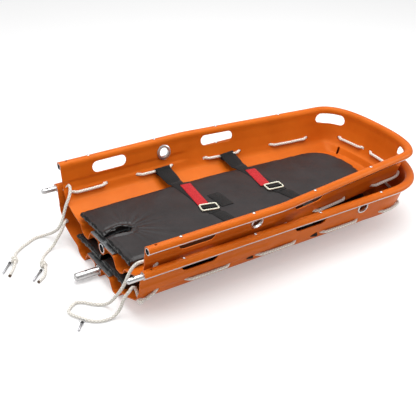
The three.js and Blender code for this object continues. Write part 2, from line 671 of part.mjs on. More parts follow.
const farRopePoints = [
  [36, 281, 187], [36, 268, 187], [33, 258, 181], [27, 250, 169], [17, 244, 153], [7, 241, 136],
  [-3, 238, 112], [-14, 236, 84], [-25, 243, 58], [-34, 266, 34], [-40, 288, 17], [-56, 304, 7],
  [-88, 305, 5], [-119, 290, 5], [-147, 274, 5], [-174, 252, 6], [-190, 223, 9], [-200, 197, 9],
  [-212, 176, 5], [-226, 156, 5], [-240, 138, 5],
];
const middleRopePoints = [
  [10, 268, 69], [10, 260, 69], [10, 250, 69.5], [8, 243, 76], [1, 235, 83], [-9, 227, 80],
  [-24, 219, 61], [-42, 218, 36], [-60, 216, 14], [-81, 208, 6], [-105, 187, 5], [-120, 163, 8],
  [-126, 143, 9], [-128, 122, 8], [-137, 98, 5], [-153, 76, 5], [-175, 60, 5],
];
const nearRopePoints = [
  [56, -281, 187], [56, -267, 187], [46, -259, 188], [30, -253, 189], [16, -248, 186], [8, -242, 178],
  [-4, -238, 163], [-12, -232, 140], [-22, -224, 108], [-29, -212, 82], [-34, -200, 62],
  [-41, -186, 40], [-46, -168, 18], [-56, -153, 7], [-73, -141, 5], [-90, -124, 5], [-104, -108, 5],
  [-123, -100, 5], [-144, -111, 5], [-159, -128, 5], [-157, -148, 5], [-143, -173, 5], [-129, -196, 5],
  [-111, -212, 5], [-89, -221, 5], [-64, -223, 7], [-45, -222, 17], [-34, -224, 36], [-30, -230, 58],
  [-24, -238, 80], [-14, -244, 96], [-5, -241, 102], [5, -238, 97], [11, -238, 85], [12, -241, 75],
  [11, -248, 70], [10, -258, 69], [9, -268, 69],
];

function cord(points) {
  const curve = new THREE.CatmullRomCurve3(points.map(p => new THREE.Vector3(...p)), false, 'centripetal');
  const steps = Math.round(curve.getLength() / ROPE_STEP) * 2;
  return sweep(curve.getSpacedPoints(steps).map(p => p.toArray()), circle(ROPE_R, 8));
}

// a plain pin from its collar to its tip, lying on the ground
function pin(from, to) {
  const [start, end] = [new THREE.Vector3(...from), new THREE.Vector3(...to)];
  const length = start.distanceTo(end);
  const profile = [[0, 0], [5, 0], [5, 11], [3.6, 12], [3.6, length - 2], [2, length], [0, length]]
    .map(([r, h]) => new THREE.Vector2(r, h));
  const turn = new THREE.Quaternion().setFromUnitVectors(
    new THREE.Vector3(0, 1, 0), end.clone().sub(start).normalize(),
  );
  return new THREE.LatheGeometry(profile, 12).applyQuaternion(turn).translate(...from);
}

const tethers = new THREE.Group();
tethers.position.set(-CENTRE_X, 0, 0);
stretcher.add(tethers);
add(tethers, 'rope_far', cord(farRopePoints), rope);
add(tethers, 'rope_middle', cord(middleRopePoints), rope);
add(tethers, 'rope_near', cord(nearRopePoints), rope);
add(tethers, 'pin_far', pin([-213, 206, 6.5], [-254, 161, 4.5]), metal);
add(tethers, 'pin_middle', pin([-144, 114, 6.5], [-189, 73, 4.5]), metal);
add(tethers, 'pin_near', pin([-146, -196, 6.5], [-173, -226, 4.5]), metal);

export default stretcher;
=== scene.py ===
"""Looks of the two-part basket stretcher: the upper (foot) half nested in the lower (head) half."""
import math

import bmesh
import bpy
import numpy as np
from mathutils import Matrix, Vector


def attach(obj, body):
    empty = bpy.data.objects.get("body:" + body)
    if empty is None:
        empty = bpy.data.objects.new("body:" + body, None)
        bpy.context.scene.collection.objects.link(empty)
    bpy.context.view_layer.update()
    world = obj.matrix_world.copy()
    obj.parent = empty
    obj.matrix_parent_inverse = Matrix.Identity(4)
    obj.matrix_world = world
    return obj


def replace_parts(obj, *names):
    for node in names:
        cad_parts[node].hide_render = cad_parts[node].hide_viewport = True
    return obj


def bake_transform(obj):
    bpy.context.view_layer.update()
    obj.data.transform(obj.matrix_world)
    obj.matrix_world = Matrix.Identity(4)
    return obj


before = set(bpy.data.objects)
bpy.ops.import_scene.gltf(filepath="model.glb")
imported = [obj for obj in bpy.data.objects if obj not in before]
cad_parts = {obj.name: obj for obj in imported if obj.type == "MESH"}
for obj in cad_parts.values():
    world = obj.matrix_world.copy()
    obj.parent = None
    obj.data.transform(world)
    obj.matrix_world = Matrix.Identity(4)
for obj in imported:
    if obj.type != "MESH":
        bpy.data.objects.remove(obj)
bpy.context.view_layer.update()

# ---------------------------------------------------------------- dimensions, in mm as in the CAD
MM = 0.001
UPWARD = np.array((0.0, 0.0, 1.0))
CENTRE_X = 547.46              # shift of both halves along X
LOWER_Z, UPPER_Z = 175.0, 251.0
NEST_X = 16.0
HALF_WIDTH = 300.0
RIM_R, GAP, SHEET = 12.0, 0.3, 3.5
BORE_R = 9.3
BASE_HALF_WIDTH, BASE_INSET = 242.0, 58.0
KEEL_R, KEEL_Z, KEEL_BORE_R = 17.0, -154.0, 13.3
FADE, FADE_END, CHANNEL_HALF = 110.0, 20.0, 40.0
PAD_Z, PAD_T, PAD_HALF_WIDTH, PAD_TAPER_FROM = -131.6, 24.0, 178.0, 520.0
WEB_Z = PAD_Z + PAD_T + 1
# each half's plan: its straight sides, end curve and taper, then its mattress
LOWER = dict(start=955.0, reach=205.0, half=300.0, power=2.3, taper=955.0,
             narrow=170.0, corner=930.0, end=1040.0)
UPPER = dict(start=1020.0, reach=115.0, half=235.0, power=2.6, taper=470.0,
             narrow=150.0, corner=902.0, end=1012.0)
# the shell's section: [inset, z] down the wall, then [y, z where open, z where closed] across the floor
WALL = [(13, -14), (20, -50), (30, -84), (38, -104), (47, -114), (58, -118)]
FLOOR = [
    (200, -135, -137), (152, -146, -141), (144, -165, -142), (125, -175, -143), (98, -175, -144),
    (86, -155, -144), (78, -141, -145), (40, -139, -146), (22, -139.5, -146), (20.8, -159.6, -146),
    (15.2, -169.2, -147), (5.6, -174.8, -147), (0, -174.8, -147),
]
# the grab line's holes by distance along the rim; the far side is 1 and the near side is -1
UPPER["lace"] = {
    1: (30, 150, 276, 409, 550, 689, 825, 980, 1163, 1288),
    -1: (66, 138, 282, 387, 517, 648, 788, 928, 1119, 1300),
}
LOWER["lace"] = {
    1: (60, 160, 300, 420, 560, 690, 830, 950, 1150, 1334),
    -1: (60, 164, 312, 421, 568, 681, 831, 940, 1067, 1334),
}
LACE_HOLE = (19, 10.2)
LACE_Z, LACE_SLACK, LACE_STEP = -86.0, 1.2, 12.0
LACE_INSIDE, LACE_WITHIN, LACE_OUTSIDE = 41.8, 32.3, 24.6
UPPER.update(rope_holes={1: (20, -64), -1: (40, -64)}, handles=(176, 603), grommet=387.0,
             rivets=(108, 360, 606, 868))
LOWER.update(rope_holes={1: (10, -106), -1: (10, -106)}, handles=(201, 620), grommet=840.0,
             rivets=(134, 385, 638, 898))
ROPE_HOLE_R = 6.2
PIN_HOLE_X, PIN_HOLE_R = 27.0, 4.6
HANDLE, HANDLE_Z, CORNER_HANDLE = (128, 40), -24.0, (110, 40)
GROMMET_Z, GROMMET_HOLE_R = -34.0, 20.4
DRAIN, DRAIN_TURN, DRAIN_ALONG, DRAIN_ACROSS = (22, 9), 0.51, 0.36, 0.49
RECESS = dict(depth=3.5, until=470.0)      # the shallow step in the wall beside the handles
FAR_ROPE = [
    (36, 281, 187), (36, 268, 187), (33, 258, 181), (27, 250, 169), (17, 244, 153), (7, 241, 136),
    (-3, 238, 112), (-14, 236, 84), (-25, 243, 58), (-34, 266, 34), (-40, 288, 17), (-56, 304, 7),
    (-88, 305, 5), (-119, 290, 5), (-147, 274, 5), (-174, 252, 6), (-190, 223, 9), (-200, 197, 9),
    (-212, 176, 5), (-226, 156, 5), (-240, 138, 5),
]
MIDDLE_ROPE = [
    (10, 268, 69), (10, 260, 69), (10, 250, 69.5), (8, 243, 76), (1, 235, 83), (-9, 227, 80),
    (-24, 219, 61), (-42, 218, 36), (-60, 216, 14), (-81, 208, 6), (-105, 187, 5), (-120, 163, 8),
    (-126, 143, 9), (-128, 122, 8), (-137, 98, 5), (-153, 76, 5), (-175, 60, 5),
]
NEAR_ROPE = [
    (56, -281, 187), (56, -267, 187), (46, -259, 188), (30, -253, 189), (16, -248, 186), (8, -242, 178),
    (-4, -238, 163), (-12, -232, 140), (-22, -224, 108), (-29, -212, 82), (-34, -200, 62), (-41, -186, 40),
    (-46, -168, 18), (-56, -153, 7), (-73, -141, 5), (-90, -124, 5), (-104, -108, 5), (-123, -100, 5),
    (-144, -111, 5), (-159, -128, 5), (-157, -148, 5), (-143, -173, 5), (-129, -196, 5), (-111, -212, 5),
    (-89, -221, 5), (-64, -223, 7), (-45, -222, 17), (-34, -224, 36), (-30, -230, 58), (-24, -238, 80),
    (-14, -244, 96), (-5, -241, 102), (5, -238, 97), (11, -238, 85), (12, -241, 75), (11, -248, 70),
    (10, -258, 69), (9, -268, 69),
]
ROPE_R = 5.0


def placer(x, z):
    """Takes points in mm from a half's own frame to metres in the row's frame."""
    return lambda points: (np.asarray(points, float) + (x - CENTRE_X, 0, z)) * MM


in_lower, in_upper, on_ground = placer(0, LOWER_Z), placer(NEST_X, UPPER_Z), placer(0, 0)
HALVES = (("lower", LOWER, in_lower), ("upper", UPPER, in_upper))
SIDES = ((1, "far"), (-1, "near"))


# ---------------------------------------------------------------- camera
AZIMUTH, ELEVATION, ROLL = math.radians(-33.36), math.radians(29.88), math.radians(1.18)
CAMERA_AT = Vector((-1.40876, -1.9317, 1.4549))
LENS = 69.23
back = Vector((
    math.sin(AZIMUTH) * math.cos(ELEVATION), -math.cos(AZIMUTH) * math.cos(ELEVATION), math.sin(ELEVATION)))
right = Vector((math.cos(AZIMUTH), math.sin(AZIMUTH), 0))
up = back.cross(right)
rolled_right = right * math.cos(ROLL) + up * math.sin(ROLL)
rolled_up = up * math.cos(ROLL) - right * math.sin(ROLL)
camera = bpy.data.objects.new("camera", bpy.data.cameras.new("camera"))
camera.data.lens = LENS
camera.data.sensor_width = 36
camera.data.clip_end = 50
camera.matrix_world = Matrix.Translation(CAMERA_AT) @ Matrix(
    (rolled_right, rolled_up, back)).transposed().to_4x4()
bpy.context.scene.collection.objects.link(camera)
bpy.context.scene.camera = camera


# ---------------------------------------------------------------- materials
def new_material(name, color, roughness=0.5, metallic=0.0, **sockets):
    m = bpy.data.materials.new(name)
    m.use_nodes = True
    m.diffuse_color = (*color, 1)
    bsdf = m.node_tree.nodes["Principled BSDF"]
    bsdf.inputs["Base Color"].default_value = (*color, 1)
    bsdf.inputs["Roughness"].default_value = roughness
    bsdf.inputs["Metallic"].default_value = metallic
    for key, value in sockets.items():
        bsdf.inputs[key.replace("_", " ")].default_value = value
    return m


def node(m, kind, inputs=None, **settings):
    n = m.node_tree.nodes.new(kind)
    for key, value in settings.items():
        setattr(n, key, value)
    for key, value in (inputs or {}).items():
        n.inputs[key].default_value = value
    return n


def link(m, a, a_out, b, b_in):
    m.node_tree.links.new(a.outputs[a_out], b.inputs[b_in])


def principled(m):
    return m.node_tree.nodes["Principled BSDF"]


def noise(m, scale, detail=4.0, rough=0.55, stretch=None):
    geo = node(m, "ShaderNodeNewGeometry")
    tex = node(m, "ShaderNodeTexNoise", {"Scale": scale, "Detail": detail, "Roughness": rough})
    if stretch:
        mapping = node(m, "ShaderNodeMapping", {"Scale": stretch})
        link(m, geo, "Position", mapping, "Vector")
        link(m, mapping, "Vector", tex, "Vector")
    else:
        link(m, geo, "Position", tex, "Vector")
    return tex


def ramp(m, source, out, stops):
    r = node(m, "ShaderNodeValToRGB")
    elements = r.color_ramp.elements
    while len(elements) < len(stops):
        elements.new(0.5)
    for e, (position, color) in zip(elements, stops):
        e.position = position
        e.color = (*color, 1) if len(color) == 3 else color
    link(m, source, out, r, "Fac")
    return r


def paint(m, source, out, stops, socket="Base Color"):
    link(m, ramp(m, source, out, stops), "Color", principled(m), socket)


def grey(value):
    return (value, value, value)


def combine(m, operation, a, b):
    """A maths node fed by two (node, output) pairs."""
    n = node(m, "ShaderNodeMath", operation=operation)
    for i, (source, out) in enumerate((a, b)):
        link(m, source, out, n, i)
    return n


def bump(m, source, out, strength, distance, after=None):
    b = node(m, "ShaderNodeBump", {"Strength": strength, "Distance": distance})
    link(m, source, out, b, "Height")
    if after:
        link(m, after, "Normal", b, "Normal")
    link(m, b, "Normal", principled(m), "Normal")
    return b


def moulded_plastic():
    m = new_material("moulded_orange", (0.62, 0.122, 0.007), 0.4, Specular_IOR_Level=0.4,
                     Specular_Tint=(1.0, 0.55, 0.22, 1.0))
    paint(m, noise(m, 9, 3), "Fac", [(0.3, (0.58, 0.108, 0.006)), (0.7, (0.66, 0.136, 0.009))])
    streaks = noise(m, 60, 5, 0.65, (0.25, 1.0, 1.0))
    paint(m, streaks, "Fac", [(0.3, grey(0.30)), (0.75, grey(0.44))], "Roughness")
    slow = bump(m, noise(m, 14, 2), "Fac", 0.12, 0.004)
    bump(m, noise(m, 900, 2), "Fac", 0.06, 0.0004, after=slow)
    return m


def polished_metal(name, color, roughness, along=(0.05, 1, 1)):
    m = new_material(name, color, roughness, 1.0)
    brush = noise(m, 700, 3, 0.6, along)
    paint(m, brush, "Fac", [(0.3, grey(roughness * 0.7)), (0.75, grey(roughness * 1.5))], "Roughness")
    paint(m, noise(m, 40, 3), "Fac", [(0.3, tuple(c * 0.86 for c in color)), (0.7, color)])
    bump(m, brush, "Fac", 0.08, 0.0003)
    return m


def vinyl(name, dark, light, gloss):
    m = new_material(name, light, 0.4, Specular_IOR_Level=0.42)
    paint(m, noise(m, 12, 4), "Fac", [(0.3, dark), (0.75, light)])
    paint(m, noise(m, 30, 4), "Fac", [(0.3, grey(gloss)), (0.7, grey(gloss * 1.6))], "Roughness")
    geo = node(m, "ShaderNodeNewGeometry")
    grain = node(m, "ShaderNodeTexVoronoi", {"Scale": 900.0}, feature="DISTANCE_TO_EDGE")
    link(m, geo, "Position", grain, "Vector")
    soft = bump(m, noise(m, 22, 3), "Fac", 0.25, 0.004)
    bump(m, grain, "Distance", 0.12, 0.0005, after=soft)
    return m


def webbing(name, dark, light):
    """Woven band: fine ribs across it and rows along it, from the position in the row frame."""
    m = new_material(name, light, 0.85, Sheen_Weight=0.08, Specular_IOR_Level=0.3)
    geo = node(m, "ShaderNodeNewGeometry")
    waves = []
    for scale, across in ((210.0, "Y"), (150.0, "X")):
        wave = node(m, "ShaderNodeTexWave", {"Scale": scale, "Distortion": 0.6, "Detail": 1.0},
                    wave_type="BANDS", bands_direction=across)
        link(m, geo, "Position", wave, "Vector")
        waves.append((wave, "Fac"))
    both = combine(m, "MULTIPLY", *waves)
    paint(m, both, "Value", [(0.0, dark), (0.6, light)])
    bump(m, both, "Value", 0.5, 0.0006)
    return m


def rope_fibre(name, dark, light):
    """A plaited cover: two sets of strands crossing, laid out by the rope's own UV, with fine fuzz."""
    m = new_material(name, light, 0.8, Sheen_Weight=0.3)
    uv = node(m, "ShaderNodeUVMap", uv_map="along")
    sets = []
    for turns in (6.0, -6.0):
        mapping = node(m, "ShaderNodeMapping", {"Scale": (turns, 6.0, 1.0)})
        link(m, uv, "UV", mapping, "Vector")
        parts = node(m, "ShaderNodeSeparateXYZ")
        link(m, mapping, "Vector", parts, "Vector")
        total = combine(m, "ADD", (parts, "X"), (parts, "Y"))
        wave = node(m, "ShaderNodeMath", {1: 1.0}, operation="PINGPONG")
        link(m, total, "Value", wave, 0)
        sets.append((wave, "Value"))
    both = combine(m, "MULTIPLY", *sets)
    paint(m, both, "Value", [(0.0, dark), (0.35, light)])
    twist = bump(m, both, "Value", 0.5, 0.0009)
    bump(m, noise(m, 1500, 2), "Fac", 0.2, 0.0003, after=twist)
    return m


ORANGE = moulded_plastic()
ALUMINIUM = polished_metal("aluminium_tube", (0.72, 0.71, 0.71), 0.2)
PLATE = polished_metal("joint_plate_metal", (0.34, 0.35, 0.36), 0.42)
BRIGHT = polished_metal("bright_trim", (0.78, 0.77, 0.76), 0.26, (1, 1, 1))
STEEL = polished_metal("pin_steel", (0.56, 0.56, 0.58), 0.28, (1, 1, 1))
DARK = new_material("dark_collar", (0.03, 0.03, 0.032), 0.5)
VINYL = vinyl("vinyl", (0.015, 0.0125, 0.0130), (0.028, 0.0235, 0.0240), 0.30)
HEM = vinyl("glossy_hem", (0.004, 0.0035, 0.0035), (0.008, 0.007, 0.007), 0.10)
BLACK = webbing("black_webbing", (0.003, 0.0028, 0.0028), (0.012, 0.011, 0.011))
RED = webbing("red_webbing", (0.34, 0.006, 0.010), (0.68, 0.022, 0.030))
ENAMEL = new_material("buckle_enamel", (0.80, 0.79, 0.64), 0.3, 0.15)
bump(ENAMEL, noise(ENAMEL, 300, 3), "Fac", 0.1, 0.0003)
ROPE = rope_fibre("rope", (0.58, 0.545, 0.48), (0.83, 0.80, 0.74))
ROPE_END = rope_fibre("rope_end", (0.05, 0.03, 0.02), (0.16, 0.09, 0.05))


def studio_floor():
    """White to the camera, a little darker to the light that bounces off it."""
    m = new_material("floor", (0.74, 0.74, 0.74), 0.6, Emission_Color=(1, 1, 1, 1))
    rays = node(m, "ShaderNodeLightPath")
    glow = node(m, "ShaderNodeMath", {1: 0.32}, operation="MULTIPLY")
    link(m, rays, "Is Camera Ray", glow, 0)
    link(m, glow, "Value", principled(m), "Emission Strength")
    return m


FLOOR_LOOK = studio_floor()


# ---------------------------------------------------------------- mesh helpers
def mesh_object(name, points, faces, look, sharp=38):
    """points in metres; faces are vertex tuples; smooth, with sharp edges over the angle."""
    data = bpy.data.meshes.new(name)
    corners = [tuple(p) for p in np.asarray(points, float)]
    data.from_pydata(corners, [], [tuple(int(i) for i in f) for f in faces])
    data.validate()
    data.materials.append(look)
    obj = bpy.data.objects.new(name, data)
    bpy.context.scene.collection.objects.link(obj)
    outward(obj)
    smooth(obj, sharp)
    return obj


def outward(obj):
    data = obj.data
    co = np.array([v.co for v in data.vertices])
    volume = 0.0
    for p in data.polygons:
        v = p.vertices
        for i in range(1, len(v) - 1):
            volume += np.dot(co[v[0]], np.cross(co[v[i]], co[v[i + 1]]))
    if volume < 0:
        data.flip_normals()


def smooth(obj, sharp=38):
    obj.data.shade_smooth()
    obj.data.set_sharp_from_angle(angle=math.radians(sharp))


def grid_faces(rows, columns, closed_columns=False, offset=0):
    """Quads between consecutive rows of equal length."""
    faces = []
    last = columns if closed_columns else columns - 1
    for r in range(rows - 1):
        for c in range(last):
            d = (c + 1) % columns
            faces.append((offset + r * columns + c, offset + r * columns + d,
                          offset + (r + 1) * columns + d, offset + (r + 1) * columns + c))
    return faces


def skin(name, rings, look, sharp=38):
    """A closed tube through rings of equal length."""
    rings = np.asarray(rings, float)
    n = rings.shape[1]
    faces = grid_faces(len(rings), n, closed_columns=True)
    faces.append(tuple(range(n))[::-1])
    last = (len(rings) - 1) * n
    faces.append(tuple(last + i for i in range(n)))
    return mesh_object(name, rings.reshape(-1, 3), faces, look, sharp)


def unit(vectors):
    vectors = np.asarray(vectors, float)
    return vectors / np.linalg.norm(vectors, axis=-1, keepdims=True)


def headings(path):
    """Direction of a line at each of its points."""
    return unit(np.gradient(path, axis=0))


def across_from(ahead):
    """A level direction square to this one, or one square to X if it is upright."""
    return unit(np.cross(ahead, UPWARD if abs(ahead[2]) < 0.9 else (1.0, 0, 0)))


def frames_along(path):
    """Side and lift at each point, carried without twist."""
    ahead = headings(path)
    side = across_from(ahead[0])
    sides = []
    for a in ahead:
        side = unit(side - a * np.dot(side, a))
        sides.append(side)
    return np.array(sides), np.cross(sides, ahead)


def ring(centre, radius, u, v, sides):
    """Points of a circle round the centre, in the plane of u and v."""
    turn = np.linspace(0, 2 * math.pi, sides, endpoint=False)[:, None]
    return centre + radius * (np.cos(turn) * u + np.sin(turn) * v)


def tube(name, path, radii, look, sides=24, sharp=38):
    """A round tube along a path with one radius a point; radii may step for bores and rounded ends."""
    path = np.asarray(path, float)
    radii = np.broadcast_to(np.asarray(radii, float), (len(path),))
    side, lift = frames_along(path)
    rings = [ring(p, r, u, v, sides) for p, r, u, v in zip(path, radii, side, lift)]
    return skin(name, rings, look, sharp)


def straight_tube(name, start, end, profile, look, sides=32, sharp=38):
    """A turned piece: profile is (distance along, radius) from start towards end."""
    start, end = np.asarray(start, float), np.asarray(end, float)
    ahead = unit(end - start)
    side = across_from(ahead)
    lift = np.cross(side, ahead)
    rings = [ring(start + ahead * d, max(r, 1e-6), side, lift, sides) for d, r in profile]
    return skin(name, rings, look, sharp)


def closed_skin(name, rings, look, sharp):
    """A ring-shaped body: rings of equal length, the last one joined to the first."""
    rings = np.asarray(rings, float)
    n = rings.shape[1]
    count = len(rings) * n
    faces = [tuple(i % count for i in f) for f in grid_faces(len(rings) + 1, n, closed_columns=True)]
    return mesh_object(name, rings.reshape(-1, 3), faces, look, sharp)


def smooth_path(points, step):
    """Points spaced evenly along a Catmull-Rom curve."""
    p = np.asarray(points, float)
    p = np.vstack([2 * p[0] - p[1], p, 2 * p[-1] - p[-2]])
    dense = []
    for i in range(1, len(p) - 2):
        a, b, c, d = p[i - 1], p[i], p[i + 1], p[i + 2]
        t0, t1 = 0.0, np.linalg.norm(b - a) ** 0.5
        t2 = t1 + np.linalg.norm(c - b) ** 0.5
        t3 = t2 + np.linalg.norm(d - c) ** 0.5
        for t in np.linspace(t1, t2, 24, endpoint=False):
            a1 = (t1 - t) / (t1 - t0) * a + (t - t0) / (t1 - t0) * b
            a2 = (t2 - t) / (t2 - t1) * b + (t - t1) / (t2 - t1) * c
            a3 = (t3 - t) / (t3 - t2) * c + (t - t2) / (t3 - t2) * d
            b1 = (t2 - t) / (t2 - t0) * a1 + (t - t0) / (t2 - t0) * a2
            b2 = (t3 - t) / (t3 - t1) * a2 + (t - t1) / (t3 - t1) * a3
            dense.append((t2 - t) / (t2 - t1) * b1 + (t - t1) / (t2 - t1) * b2)
    dense.append(p[-2])
    return evenly(dense, step)


def join(name, parts):
    """One mesh from several, keeping each one's material."""
    bpy.ops.object.select_all(action="DESELECT")
    for o in parts:
        o.select_set(True)
    bpy.context.view_layer.objects.active = parts[0]
    if len(parts) > 1:
        bpy.ops.object.join()
    parts[0].name = name
    return parts[0]


def finish_piece(obj, body, slot, *nodes):
    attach(obj, body)
    if nodes:
        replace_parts(obj, *nodes)
    return obj


def carve(obj, cutters, sharp=38):
    """Boolean difference with closed cutters."""
    tool = join("cutter", cutters)
    mod = obj.modifiers.new("carve", "BOOLEAN")
    mod.operation = "DIFFERENCE"
    mod.solver = "MANIFOLD"
    mod.object = tool
    bpy.context.view_layer.objects.active = obj
    bpy.ops.object.modifier_apply(modifier=mod.name)
    bpy.data.objects.remove(tool)
    smooth(obj, sharp)


# ---------------------------------------------------------------- plan and section of a half
def half_width(plan, x):
    slope = (HALF_WIDTH - plan["half"]) / max(1.0, plan["start"] - plan["taper"])
    return HALF_WIDTH - slope * np.maximum(0, np.asarray(x, float) - plan["taper"])


def gaussian(values, sigma):
    """Smooths rows of evenly spaced values; the first and last rows stay."""
    reach = int(3 * sigma)
    kernel = np.exp(-0.5 * (np.arange(-reach, reach + 1) / sigma) ** 2)
    kernel /= kernel.sum()
    before = 2 * values[0] - values[reach:0:-1]
    after = 2 * values[-1] - values[-2:-reach - 2:-1]
    padded = np.vstack([before, values, after])
    return np.column_stack([np.convolve(padded[:, k], kernel, "valid") for k in range(values.shape[1])])


def run_along(points):
    """Distance of each point from the first, along the line."""
    return np.concatenate([[0], np.cumsum(np.linalg.norm(np.diff(points, axis=0), axis=1))])


def evenly(points, step):
    """The same line with its points about one step apart."""
    points = np.asarray(points, float)
    along = run_along(points)
    marks = np.linspace(0, along[-1], max(2, round(along[-1] / step) + 1))
    return np.column_stack([np.interp(marks, along, points[:, k]) for k in range(points.shape[1])])


def plan_line(plan, step):
    """The rim's centre line from the far split end round to the near one: points and inward normals."""
    side = [(x, float(half_width(plan, x))) for x in np.arange(0, plan["start"], 5.0)]
    angles = np.linspace(0, math.pi / 2, 60)
    e = 2 / plan["power"]
    end = [(plan["start"] + plan["reach"] * math.sin(a) ** e, plan["half"] * max(0.0, math.cos(a)) ** e)
           for a in angles]
    far = np.array(side + end)
    whole = evenly(np.vstack([far, far[-2::-1] * (1, -1)]), 2.0)
    whole = evenly(gaussian(whole, 9), step)
    whole = (whole + whole[::-1] * (1, -1)) / 2
    ahead = headings(whole)
    inward = np.column_stack([ahead[:, 1], -ahead[:, 0]])
    inward[0], inward[-1] = (0, -1), (0, 1)
    return whole, inward


LIP_STEPS, SECTION_STEP = 14, 3.6


def section(closed):
    """Outer face of the moulding from the lip to the middle plane: nominal distance from it, and height."""
    lip = [(HALF_WIDTH + (RIM_R + GAP) * math.cos(a), (RIM_R + GAP) * math.sin(a))
           for a in np.radians(np.linspace(2, 178, LIP_STEPS))]
    wall = [(HALF_WIDTH - i, z) for i, z in WALL]
    floor = [(y, c if closed else o) for y, o, c in FLOOR]
    body = evenly([lip[-1]] + wall + floor, SECTION_STEP)
    return np.vstack([lip[:-1], gaussian(body, 1.1)])


def offset_inward(line, distance):
    d = headings(line)
    normal = np.column_stack([d[:, 1], -d[:, 0]])
    normal[-1] = (0, 1)
    moved = line + normal * distance
    moved[:, 0] = np.maximum(moved[:, 0], 0)
    return moved


def smoothstep(a, b, x):
    t = np.clip((np.asarray(x, float) - a) / (b - a), 0, 1)
    return t * t * (3 - 2 * t)


def shell_sheet(plan, stations, distance):
    """Points of one face of the shell: stations by section points."""
    lines, inward = stations
    open_line = offset_inward(section(False), distance) if distance else section(False)
    count = len(open_line)
    split = LIP_STEPS + 2                  # the lip and the top of the wall are the same in both
    shut = section(True)
    shut = np.vstack([shut[:split], evenly(shut[split:], 1.0)])
    tail = shut[split:]
    picks = np.linspace(0, len(tail) - 1, count - split)
    tail = np.column_stack([np.interp(picks, np.arange(len(tail)), tail[:, k]) for k in range(2)])
    closed_line = np.vstack([shut[:split], tail])
    if distance:
        closed_line = offset_inward(closed_line, distance)
    points = np.zeros((len(lines), count, 3))
    for s, ((x, y), n) in enumerate(zip(lines, inward)):
        side = 1 if s < len(lines) / 2 else -1
        ridges = float(np.clip((plan["start"] - FADE_END - x) / FADE, 0, 1))
        ridges = float(smoothstep(0, 1, ridges))
        line = closed_line + (open_line - closed_line) * ridges
        nominal, z = line[:, 0], line[:, 1]
        inset = HALF_WIDTH - nominal
        depth = RECESS["depth"] * smoothstep(-46, -56, z) * smoothstep(-84, -76, z)
        fade = 1 - smoothstep(RECESS["until"] - 25, RECESS["until"] + 25, x)
        depth = depth * fade * (nominal > BASE_HALF_WIDTH - 2)
        wall = np.column_stack([x + n[0] * (inset - depth), y + n[1] * (inset - depth), z])
        share = np.clip(nominal / BASE_HALF_WIDTH, 0, 1)
        base = np.array((x, y)) + n * BASE_INSET
        keep = (1 - smoothstep(CHANNEL_HALF, CHANNEL_HALF + 8, nominal)) * float(
            1 - smoothstep(plan["start"] - 15, plan["start"], x))
        scaled = abs(base[1]) * share
        across = scaled + (nominal - scaled) * keep
        middle = min(x, plan["start"])
        floor = np.column_stack([middle + (base[0] - middle) * share, side * across, z])
        points[s] = np.where((nominal > BASE_HALF_WIDTH)[:, None], wall, floor)
    return points


def shell(name, plan, place, cutters):
    stations = plan_line(plan, 7.5)
    outer, inner = shell_sheet(plan, stations, 0), shell_sheet(plan, stations, SHEET)
    rows, columns = outer.shape[:2]
    half = rows * columns
    points = np.vstack([outer.reshape(-1, 3), inner.reshape(-1, 3)])
    faces = grid_faces(rows, columns)
    faces += [f[::-1] for f in grid_faces(rows, columns, offset=half)]
    for r in range(rows - 1):
        a, b = r * columns, (r + 1) * columns
        faces.append((a, b, b + half, a + half))
    for c in range(columns - 1):
        faces.append((c + 1, c, c + half, c + 1 + half))
        e = (rows - 1) * columns + c
        faces.append((e, e + 1, e + 1 + half, e + half))
    obj = mesh_object(name, place(points), faces, ORANGE)
    weld(obj)
    outward(obj)
    carve(obj, cutters)
    return obj


def weld(obj):
    """Merges the points that meet on the middle plane, so the sheet is one closed body."""
    bm = bmesh.new()
    bm.from_mesh(obj.data)
    bmesh.ops.remove_doubles(bm, verts=bm.verts, dist=2e-6)
    bmesh.ops.dissolve_degenerate(bm, edges=bm.edges, dist=1e-7)
    bmesh.ops.recalc_face_normals(bm, faces=bm.faces)
    bm.to_mesh(obj.data)
    bm.free()


# ---------------------------------------------------------------- cutters
def stadium(length, height):
    r = height / 2
    s = length / 2 - r
    straight = np.linspace(-s, s, 13)
    turn = np.linspace(-math.pi / 2, math.pi / 2, 8)[1:-1]
    half = [(u, -r) for u in straight] + [(s + r * math.cos(a), r * math.sin(a)) for a in turn]
    return np.array(half + [(-u, -v) for u, v in half])


def prism(outline, place, x, y, z, yaw, depth=140.0):
    """An outline in the wall's plane, pushed through it both ways."""
    u, v = outline.T
    c, s = math.cos(yaw), math.sin(yaw)
    rings = [np.column_stack([x + u * c - d * s, y + u * s + d * c, z + v]) for d in (-depth / 2, depth / 2)]
    return skin("cutter", place(np.array(rings)), ORANGE)


def wall_frame(plan, x, side):
    slope = float(half_width(plan, x + 1) - half_width(plan, x))
    return dict(x=x, y=side * float(half_width(plan, x)), yaw=side * math.atan(slope))


def circle(radius, count=32):
    a = np.linspace(0, 2 * math.pi, count, endpoint=False)
    return np.column_stack([radius * np.cos(a), radius * np.sin(a)])


class Rim:
    """The rim's centre line, measured from each split end."""

    def __init__(self, plan):
        self.line, self.inward = plan_line(plan, 2.0)
        self.run = run_along(self.line)

    def beside(self, distance, side, inset):
        """Plan point some distance along the rim and inset from it, and the wall's direction there."""
        at = distance if side > 0 else self.run[-1] - distance
        x, y = (np.interp(at, self.run, self.line[:, k]) for k in (0, 1))
        nx, ny = (np.interp(at, self.run, self.inward[:, k]) for k in (0, 1))
        return x + nx * inset, y + ny * inset, math.atan2(-nx, ny) + math.pi


